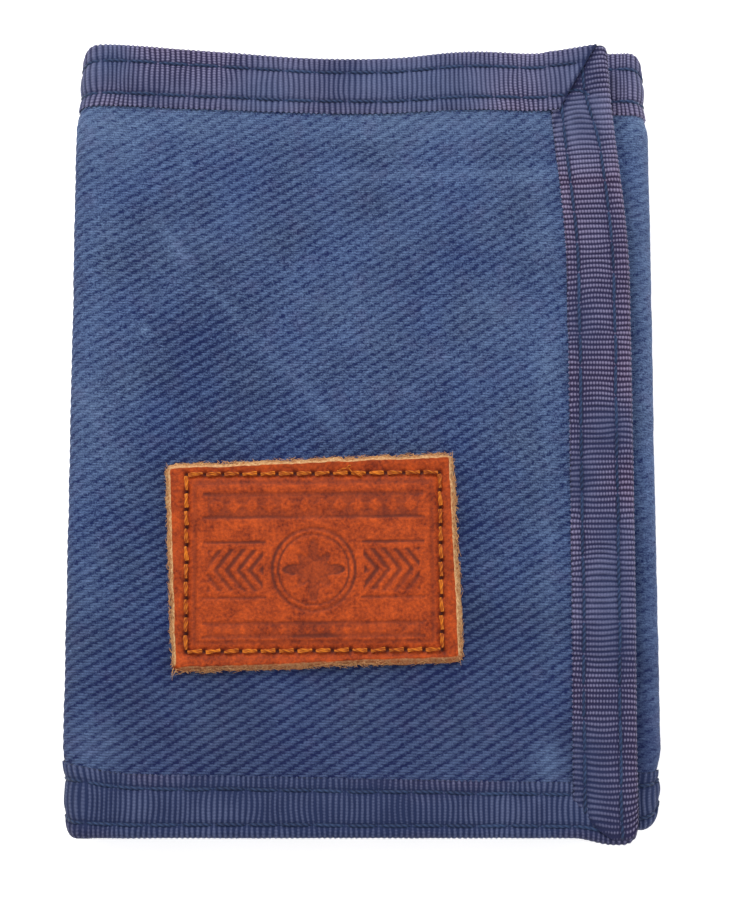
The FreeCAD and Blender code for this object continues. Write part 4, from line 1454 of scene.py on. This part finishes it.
def trim_tape(node, body, seed, hem):
    """The ribbed tape on a pocket's mouth."""
    low, high = node_box(node)
    middle = (low[2] + high[2]) / 2

    def surface(x, y, outside):
        across = (y - low[1]) / (high[1] - low[1])
        thin = np.sqrt(1 - np.clip(np.abs(2 * across - 1), 0, 0.97) ** 8)
        ribs = 0.035 * np.cos(2 * math.pi * x / RIB)
        rows = -0.06 * (bump(across, 0.2, 0.05) + bump(across, 0.8, 0.05))
        face = (high[2] - middle) + ribs + rows
        z = middle + (face if outside else -face) * thin
        points = settle(xyz(x, y - mouth_dip(x, low, high, hem), z), body.removesuffix("_flap"))
        return points, xyz(x, y, 0.2), 0.4 + 0.2 * noise(x, y, 6, seed)

    return sheet(surface, steps(low[0], high[0], RIB / 4), steps(low[1], high[1], TRIM_STEP))


def seam(x, y, z, facing):
    """A straight row of small stitches between two places, on a face that looks up (1) or down (-1)."""
    (x0, x1), (y0, y1) = x, y
    count = max(2, round(math.hypot(x1 - x0, y1 - y0) / SEAM_PITCH))
    reach = np.linspace(-1, 1, 7)
    share = (np.arange(count)[:, None] + 0.5 + 0.42 * reach[None]) / count
    lift = 0.05 - 0.2 * np.abs(reach) ** 4
    centres = xyz(x0 + (x1 - x0) * share, y0 + (y1 - y0) * share, z + facing * lift)
    return tubes(centres, 0.12, 6, (0, 0, 1))


def side_seam(x, low, high, z, facing):
    """The row down one side of a pocket, between the foot tape and the mouth."""
    return seam((x, x), (low[1] + 12, high[1] - 1), z, facing)


def matching(inner_x, inner_y, outer_x, outer_y, count=44):
    """Two rectangular outlines with the same number of points on each side."""
    share = np.linspace(0, 1, count, endpoint=False)[:, None]

    def loop(x, y):
        corners = np.array([(x[0], y[0]), (x[1], y[0]), (x[1], y[1]), (x[0], y[1])])
        sides = np.roll(corners, -1, axis=0) - corners
        return (corners[:, None] + sides[:, None] * share).reshape(-1, 2)

    return loop(outer_x, outer_y), loop(inner_x, inner_y)


def framed_sheet(outer, inner, low_z, high_z, panel, seed, bands=9):
    """A soft sheet with a hole; its rim round the hole is turned in and slightly thick."""
    levels = []
    shares = np.linspace(0, 1, bands + 1)
    for level, side, order in ((high_z, 1, shares), (low_z, -1, shares[::-1])):
        for share in order:
            loop = outer + (inner - outer) * share
            waves = 0.03 * noise(loop[:, 0], loop[:, 1], 8, seed)
            levels.append((loop, level + waves + side * 0.05 * bump(share, 0.9, 0.06)))
    made = stacked(levels, closed=True)
    made.points = settle(made.points, panel)
    return made


def make_pocket(body, node, seeds, hem, wave, facing, both_sides, mouth_rows):
    """A card pocket: its sheet, the tape on its mouth, and thread set in from the tape's edges."""
    low, high = node_box(node)
    trim_node = f"{node}_trim"
    trim_low, trim_high = node_box(trim_node)
    on_body(body, f"{node}_sheet", soft_sheet(node, body, seeds[0], hem, wave), "lining_nylon", node)
    on_body(body, f"{node}_mouth", trim_tape(trim_node, body, seeds[1], hem), "pocket_trim", trim_node)
    face, trim_face = (high[2], trim_high[2]) if facing > 0 else (low[2], trim_low[2])
    sides = (low[0] + 1.5, high[0] - 1.5) if both_sides else (high[0] - 1.5,)
    rows = [side_seam(x, low, high, face, facing) for x in sides]
    for y in (trim_low[1] + mouth_rows[0], trim_high[1] - mouth_rows[1]):
        rows.append(seam((low[0] + 1, high[0] - 1), (y, y), trim_face, facing))
    on_body(body, f"{node}_thread", join(rows), "thread", node)


def make_pockets():
    """One pocket on the back panel looks up; two on the inner flap look down when the wallet is closed."""
    make_pocket("back_panel", "card_pocket", (201, 205), 0.8, 0.025, 1, True, (0.6, 1.4))
    make_window()
    for node, seed in (("flap_rear_pocket", 221), ("flap_front_pocket", 231)):
        make_pocket("inner_flap", node, (seed, seed + 5), 0.6, 0.07, -1, False, (0.7, 1.2))


def make_window():
    """The photo-card window: a frame of lining cloth, the vinyl pane under it and its thread."""
    low, high = node_box("id_window_frame")
    pane_low, pane_high = node_box("id_window_pane")
    hole_x = (low[0] + WINDOW_BORDER, high[0] - WINDOW_BORDER)
    hole_y = (pane_low[1] + PANE_LAP, pane_high[1] - PANE_LAP)
    outer, inner = matching(hole_x, hole_y, (low[0], high[0]), (low[1], high[1]))
    frame_shape = framed_sheet(outer, inner, low[2] + PANE_LIFT, high[2] + PANE_LIFT, "back", 211)
    on_body("back_panel", "window_frame", frame_shape, "lining_nylon", "id_window_frame")

    def surface(x, y, outside):
        z = (pane_high[2] if outside else pane_low[2] + PANE_LIFT) + 0.02 * noise(x, y, 14, 215)
        return xyz(x, y, z), xyz(x, y, z), 0.5

    pane_x = steps(pane_low[0], pane_high[0], PANE_STEP)
    pane = sheet(surface, pane_x, steps(pane_low[1], pane_high[1], PANE_STEP))
    on_body("back_panel", "window_pane", pane, "clear_vinyl", "id_window_pane")
    gap = 1.2
    x = (hole_x[0] - gap, hole_x[1] + gap)
    y = (hole_y[0] - gap, hole_y[1] + gap)
    around = ((x, (y[0], y[0])), ((x[1], x[1]), y), (x[::-1], (y[1], y[1])), ((x[0], x[0]), y[::-1]))
    rows = [seam(*side, high[2], 1) for side in around]
    rows += [side_seam(side_x, low, high, high[2], 1) for side_x in (low[0] + 1, high[0] - 1)]
    on_body("back_panel", "window_thread", join(rows), "thread", "id_window_frame")


# ---- coin pocket and its zip ----
SLOT_HALF = 3.8
TOOTH_PITCH = 1.3
TOOTH_RADIUS = 0.24
# depths below the front denim's middle
SLIDER_BACK = (2.5, 2.05)  # the plate towards the denim
SLIDER_FACE = (4.7, 4.1)  # the plate towards the inside of the wallet
RAIL_DEPTHS = (4.0, 2.44)
CROWN_ACROSS = (-0.4, -0.13, 0.13, 0.4)  # the rounds that make up the crown's width


def make_coin_pocket():
    """The sheet with a slot for the zip, and its thread. Returns the zip's place across the flap."""
    low, high = node_box("coin_pocket")
    tape_low, tape_high = node_box("zip_tape_fold_side")
    teeth_low, teeth_high = node_box("zip_teeth")
    zip_x = (teeth_low[0] + teeth_high[0]) / 2
    slot_x = (zip_x - SLOT_HALF, zip_x + SLOT_HALF)
    slot_y = (tape_low[1] + 0.4, tape_high[1] - 0.4)
    outer, inner = matching(slot_x, slot_y, (low[0], high[0]), (low[1], high[1]))
    pocket = framed_sheet(outer, inner, low[2], high[2], "front", 241)
    on_body("front_flap", "coin_pocket_sheet", pocket, "lining_nylon", "coin_pocket")
    rows = [seam((x, x), slot_y, low[2], -1) for x in (slot_x[1] + 1, slot_x[0] - 1)]
    rows.append(side_seam(high[0] - 1.2, low, high, low[2], -1))
    rows.append(seam((low[0] + 1, high[0] - 1.2), (high[1] - 1.2,) * 2, low[2], -1))
    on_body("front_flap", "coin_pocket_thread", join(rows), "thread", "coin_pocket")
    return zip_x


def zip_tape(node, bead_side):
    """One side of the zip's tape; the edge by the teeth is a little thicker."""
    low, high = node_box(node)
    middle = (low[2] + high[2]) / 2

    def surface(x, y, outside):
        across = (x - low[0]) / (high[0] - low[0])
        from_bead = across if bead_side < 0 else 1 - across
        thick = (high[2] - middle) * (1 + 0.5 * bump(from_bead, 0.08, 0.08))
        weave = 0.02 * np.cos(2 * math.pi * (y + 1.2 * np.abs((x / 0.9) % 2 - 1)) / 0.9)
        z = middle + (thick + weave) * (1 if outside else -1) + 0.03 * noise(x, y, 8, 251)
        return settle(xyz(x, y, z), "front"), xyz(y, x, z), 0.5

    return sheet(surface, steps(low[0], high[0], ZIP_STEP), steps(low[1], high[1], ZIP_STEP))


def zip_teeth(zip_x):
    """A nylon coil: each turn reaches to the middle and goes back into its own tape."""
    low, high = node_box("zip_teeth")
    middle_z = (low[2] + high[2]) / 2
    half_z = (high[2] - low[2]) / 2
    reach = zip_x - low[0]
    count = int((high[1] - low[1] - TOOTH_PITCH) / TOOTH_PITCH)
    radius = TOOTH_RADIUS
    turns = []
    t = np.linspace(0, 2 * math.pi, 13)
    for side in (-1, 1):
        start = low[1] + 0.5 + (0 if side < 0 else TOOTH_PITCH / 2)
        y = start + TOOTH_PITCH * (np.arange(count)[:, None] + (t / (2 * math.pi))[None] * 0.75)
        near = 0.25 + radius
        middle_x = (near + reach - radius) / 2
        x_half = (reach - radius - near) / 2
        shape_x = middle_x - x_half * np.cos(t - 0.6)
        shape_z = middle_z + (half_z - radius) * np.sin(t - 0.6)
        swell = radius * (1 + 0.22 * bump(shape_x, near, 0.2))
        turns.append(tubes(xyz(zip_x + side * shape_x, y, shape_z), swell, 8, (0, 1, 0.01)))
    teeth = join(turns)
    teeth.points = settle(teeth.points, "front")
    return teeth


def zip_stops(zip_x):
    """Small metal clips across both rows at each end, bent round the teeth."""
    low, high = node_box("zip_stops")
    clips = []
    for y in (low[1] + 0.8, high[1] - 0.8):
        outline = round_rect((zip_x - 1.5, zip_x + 1.5), (y - 0.75, y + 0.75), 0.35)
        clips.append(slab(outline, low[2] + 0.02, low[2] + 0.5, 0.12))
        for side in (-1, 1):
            claw_x = (zip_x + side * 1.15 - 0.28, zip_x + side * 1.15 + 0.28)
            claw = round_rect(claw_x, (y - 0.6, y + 0.6), 0.15)
            clips.append(slab(claw, low[2] + 0.4, high[2] - 0.02, 0.1))
    return join(clips)


def waisted(x_middle, y, half_low, half_high, count=11):
    """A slider's outline: round shoulders at the top, drawn in towards the closed end."""
    share = np.linspace(0, 1, count)
    half = half_low + (half_high - half_low) * ease(share)
    ends = np.sqrt(np.clip(1 - np.abs(2 * share - 1) ** 7, 0.06, 1))
    up = y[0] + (y[1] - y[0]) * share
    right = np.column_stack([x_middle + half * ends, up])
    left = np.column_stack([x_middle - half * ends, up])[::-1]
    return np.concatenate([right, left])


def zip_slider(zip_x):
    """Two plates joined by a post, with turned-in rails and a crown that holds the pull."""
    low, high = node_box("zip_slider")
    half = (high[0] - low[0]) / 2
    back = waisted(zip_x, (low[1], high[1]), half * 0.74, half)
    plates = (SLIDER_BACK, SLIDER_FACE)
    shapes = [slab(back, FRONT_Z - deep, FRONT_Z - shallow, 0.14) for deep, shallow in plates]
    post = round_rect((zip_x - 0.16, zip_x + 0.16), (high[1] - 1.7, high[1] - 0.25), 0.12)
    shapes.append(slab(post, FRONT_Z - 4.2, FRONT_Z - 2.4, 0.04))
    rail_y = np.linspace(low[1] + 0.9, high[1] - 2.2, 12)
    for side in (-1, 1):
        rail_half = np.interp(rail_y, [low[1], high[1]], [half * 0.74, half]) - 0.28
        for depth in RAIL_DEPTHS:
            centres = xyz(zip_x + side * rail_half, rail_y, FRONT_Z - depth)
            shapes.append(tubes(centres[None], 0.17, 8, (0, 0, 1)))
    t = np.linspace(0, 1, 25)
    crown_y = low[1] + 1.3 + (high[1] - low[1] - 2.9) * t
    foot_z = FRONT_Z - SLIDER_FACE[0] + 0.1
    crown_z = foot_z - (foot_z - low[2] - 0.20) * np.sin(math.pi * t) ** 0.35
    for across in CROWN_ACROSS:
        shapes.append(tubes(xyz(zip_x + across, crown_y, crown_z)[None], 0.21, 10, (1, 0, 0)))
    return join(shapes)


def zip_pull(zip_x):
    """A flat tongue with an eye for the crown, a waist and a slot to take a cord."""
    low, high = node_box("zip_pull")
    half = (high[0] - low[0]) / 2
    length = high[1] - low[1]
    share = np.linspace(0, 1, 19)
    ends = np.sqrt(np.clip(1 - np.abs(2 * share - 1) ** 9, 0.05, 1))
    waist = 1 - 0.16 * bump(share, 0.52, 0.13)
    outline_half = half * ends * waist
    y = low[1] + length * share
    right = np.column_stack([zip_x + outline_half, y])
    left = np.column_stack([zip_x - outline_half, y])[::-1]
    outer = np.concatenate([right, left])
    middle = low[1] + length * 0.5
    eye = ((zip_x - 1.1, zip_x + 1.1), (high[1] - 5.1, high[1] - 0.5))
    slot = ((zip_x - 0.7, zip_x + 0.7), (low[1] + 1.3, low[1] + 5.3))
    shapes = []
    for keep_high, (hole_x, hole_y) in ((True, eye), (False, slot)):
        loop = [point for point in outer if (point[1] > middle) == keep_high]
        cut_half = float(np.interp(middle, y, outline_half))
        cut = [(zip_x - cut_half, middle), (zip_x + cut_half, middle)]
        loop = np.array(loop + cut)
        centre = np.array([zip_x, (hole_y[0] + hole_y[1]) / 2])
        angle = np.arctan2(loop[:, 1] - centre[1], loop[:, 0] - centre[0])
        loop = loop[np.argsort(angle)]
        around = np.linspace(-math.pi, math.pi, 48, endpoint=False)
        loop_angle = np.sort(angle)
        loop_reach = np.linalg.norm(loop - centre, axis=1)
        reach = np.interp(around, loop_angle, loop_reach, period=2 * math.pi)
        directions = np.column_stack([np.cos(around), np.sin(around)])
        hole_half = np.array([(hole_x[1] - hole_x[0]) / 2, (hole_y[1] - hole_y[0]) / 2])
        squarer = (np.abs(directions) ** 4).sum(1, keepdims=True) ** -0.25
        hole = centre + directions * squarer * hole_half
        shapes.append(ring_plate(centre + directions * reach[:, None], hole, low[2], high[2], 0.09))
    return join(shapes)


def make_zip(zip_x):
    for side, bead_side in (("fold_side", 1), ("pocket_side", -1)):
        node = f"zip_tape_{side}"
        on_body("front_flap", f"zip_cloth_{side}", zip_tape(node, bead_side), "zip_tape", node)
    on_body("front_flap", "zip_coil", zip_teeth(zip_x), "zip_coil", "zip_teeth")
    on_body("front_flap", "zip_end_clips", zip_stops(zip_x), "zip_metal", "zip_stops", crisp=30)
    on_body("slider", "slider_body", zip_slider(zip_x), "zip_metal", "zip_slider", crisp=30)
    on_body("pull_tab", "slider_pull", zip_pull(zip_x), "zip_metal", "zip_pull", crisp=30)


# ---- hook and loop ----
HOOK_PITCH = 1.25
HOOK_ROW_PITCH = 1.3
HOOK_GROUND = 0.35  # thickness of the woven ground
LOOP_GROUND = 0.45
LOOPS = 2600


def strip_base(node, facing, thick):
    """The woven ground of a hook or loop strip, with a plain selvedge."""
    low, high = node_box(node)
    ground = (high[2] - thick, high[2]) if facing < 0 else (low[2], low[2] + thick)

    def surface(x, y, outside):
        weave = 0.02 * np.cos(2 * math.pi * x / 0.9) * np.cos(2 * math.pi * y / 0.9)
        to_side = np.minimum(np.minimum(x - low[0], high[0] - x), np.minimum(y - low[1], high[1] - y))
        thin = 0.10 * np.exp(-to_side / 0.25)
        z = ground[1] + weave - thin if outside else ground[0] + weave + thin
        return xyz(x, y, z), xyz(x, y, z), 0.5

    return sheet(surface, steps(low[0], high[0], STRIP_STEP), steps(low[1], high[1], STRIP_STEP))


def hook_strip():
    """Rows of moulded hooks that curl over, on the front flap's inside."""
    low, high = node_box("hook_strip")
    rows_x = steps(low[0] + 1.6, high[0] - 1.6, HOOK_PITCH)
    rows_y = steps(low[1] + 1.2, high[1] - 1.2, HOOK_ROW_PITCH)
    x, y = (grid.reshape(-1, 1) for grid in np.meshgrid(rows_x, rows_y))
    lean = np.where((np.round(x / HOOK_PITCH) % 2) == 0, 1, -1)
    t = np.linspace(0, 1, 8)[None]
    tall = high[2] - low[2] - HOOK_GROUND
    curl = math.pi * 1.15 * t
    hook_x = x + lean * 0.26 * (1 - np.cos(curl))
    reach = tall * np.sin(np.minimum(curl, math.pi / 2)) - 0.28 * rise(t, 0.45, 0.55)
    hooks = tubes(xyz(hook_x, y, high[2] - HOOK_GROUND + 0.05 - reach), 0.11, 5, (0, 1, 0))
    return join([strip_base("hook_strip", -1, HOOK_GROUND), hooks])


def loop_strip():
    """A brushed mat of fine loops on the inner flap's outside."""
    low, high = node_box("loop_strip")
    random = np.random.default_rng(31)
    x = random.uniform(low[0] + 0.9, high[0] - 0.9, (LOOPS, 1))
    y = random.uniform(low[1] + 0.9, high[1] - 0.9, (LOOPS, 1))
    t = np.linspace(0, 1, 7)[None]
    heading = random.uniform(0, 2 * math.pi, (LOOPS, 1))
    span = random.uniform(0.5, 1.3, (LOOPS, 1))
    tall = (high[2] - low[2] - LOOP_GROUND) * random.uniform(0.45, 1.0, (LOOPS, 1))
    loop_x = x + np.cos(heading) * span * (t - 0.5)
    loop_y = y + np.sin(heading) * span * (t - 0.5)
    loop_z = low[2] + LOOP_GROUND - 0.05 + tall * np.sin(math.pi * t) ** 0.7
    loops = tubes(xyz(loop_x, loop_y, loop_z), 0.05, 4, (0, 0, 1))
    return join([strip_base("loop_strip", 1, LOOP_GROUND), loops])


def make_fasteners():
    on_body("front_flap", "hook_patch", hook_strip(), "hook_tape", "hook_strip")
    on_body("inner_flap", "loop_patch", loop_strip(), "loop_tape", "loop_strip")


# ---- stage ----
WHITE = (1, 1, 1, 1)
FLOOR_SIZE = 1.6  # metres, like the next
FLOOR_DROP = -0.0004
FLOOR_COLOUR = (0.95, 0.94, 0.92, 1)
FLOOR_GLOW = 0.6
SKY_LIGHT = 0.54  # what the sky gives the wallet, and how bright the camera sees it
SKY_SEEN = 0.95
LAMPS = (  # name, place, size and power
    ("key", (-130, 400, 480), 280, 2.3),
    ("fill", (420, -100, 480), 420, 0.7),
)
CAMERA_LENS = 89.3
CAMERA_SENSOR = 36
CAMERA_TILT = math.radians(9.3)
CAMERA_DISTANCE = 340
CAMERA_TARGET = (0.75, -2.6, 8)


def make_floor():
    bpy.ops.mesh.primitive_plane_add(size=FLOOR_SIZE, location=(0, 0, FLOOR_DROP))
    floor = bpy.context.object
    floor.name = "floor"
    white = bpy.data.materials.new("floor_white")
    white.use_nodes = True
    settings = {
        "Base Color": FLOOR_COLOUR,
        "Roughness": 0.9,
        "Emission Color": WHITE,
        "Emission Strength": FLOOR_GLOW,
    }
    for key, value in settings.items():
        white.node_tree.nodes["Principled BSDF"].inputs[key].default_value = value
    floor.data.materials.append(white)


def make_lights():
    world = bpy.data.worlds.new("studio")
    bpy.context.scene.world = world
    world.use_nodes = True
    background = world.node_tree.nodes["Background"]
    background.inputs["Color"].default_value = WHITE
    seen = world.node_tree.nodes.new("ShaderNodeLightPath").outputs["Is Camera Ray"]
    strength = world.node_tree.nodes.new("ShaderNodeMapRange")
    strength.inputs["To Min"].default_value = SKY_LIGHT
    strength.inputs["To Max"].default_value = SKY_SEEN
    world.node_tree.links.new(seen, strength.inputs["Value"])
    world.node_tree.links.new(strength.outputs["Result"], background.inputs["Strength"])
    for name, place_mm, size_mm, power in LAMPS:
        light = bpy.data.lights.new(name, "AREA")
        light.size = size_mm * MM
        light.energy = power
        lamp = bpy.data.objects.new(name, light)
        lamp.location = Vector(place_mm) * MM
        lamp.rotation_mode = "QUATERNION"
        lamp.rotation_quaternion = (-lamp.location).to_track_quat("-Z", "Y")
        bpy.context.scene.collection.objects.link(lamp)


def make_camera():
    data = bpy.data.cameras.new("camera")
    data.lens = CAMERA_LENS
    data.sensor_width = CAMERA_SENSOR
    camera = bpy.data.objects.new("camera", data)
    back = Vector((0, -math.sin(CAMERA_TILT), math.cos(CAMERA_TILT)))
    camera.location = (Vector(CAMERA_TARGET) + back * CAMERA_DISTANCE) * MM
    camera.rotation_mode = "QUATERNION"
    camera.rotation_quaternion = (-back).to_track_quat("-Z", "Y")
    bpy.context.scene.collection.objects.link(camera)
    bpy.context.scene.camera = camera


make_cloth()
make_patch()
make_pockets()
make_zip(make_coin_pocket())
make_fasteners()
make_floor()
make_lights()
make_camera()
bpy.context.scene.view_settings.view_transform = "Standard"
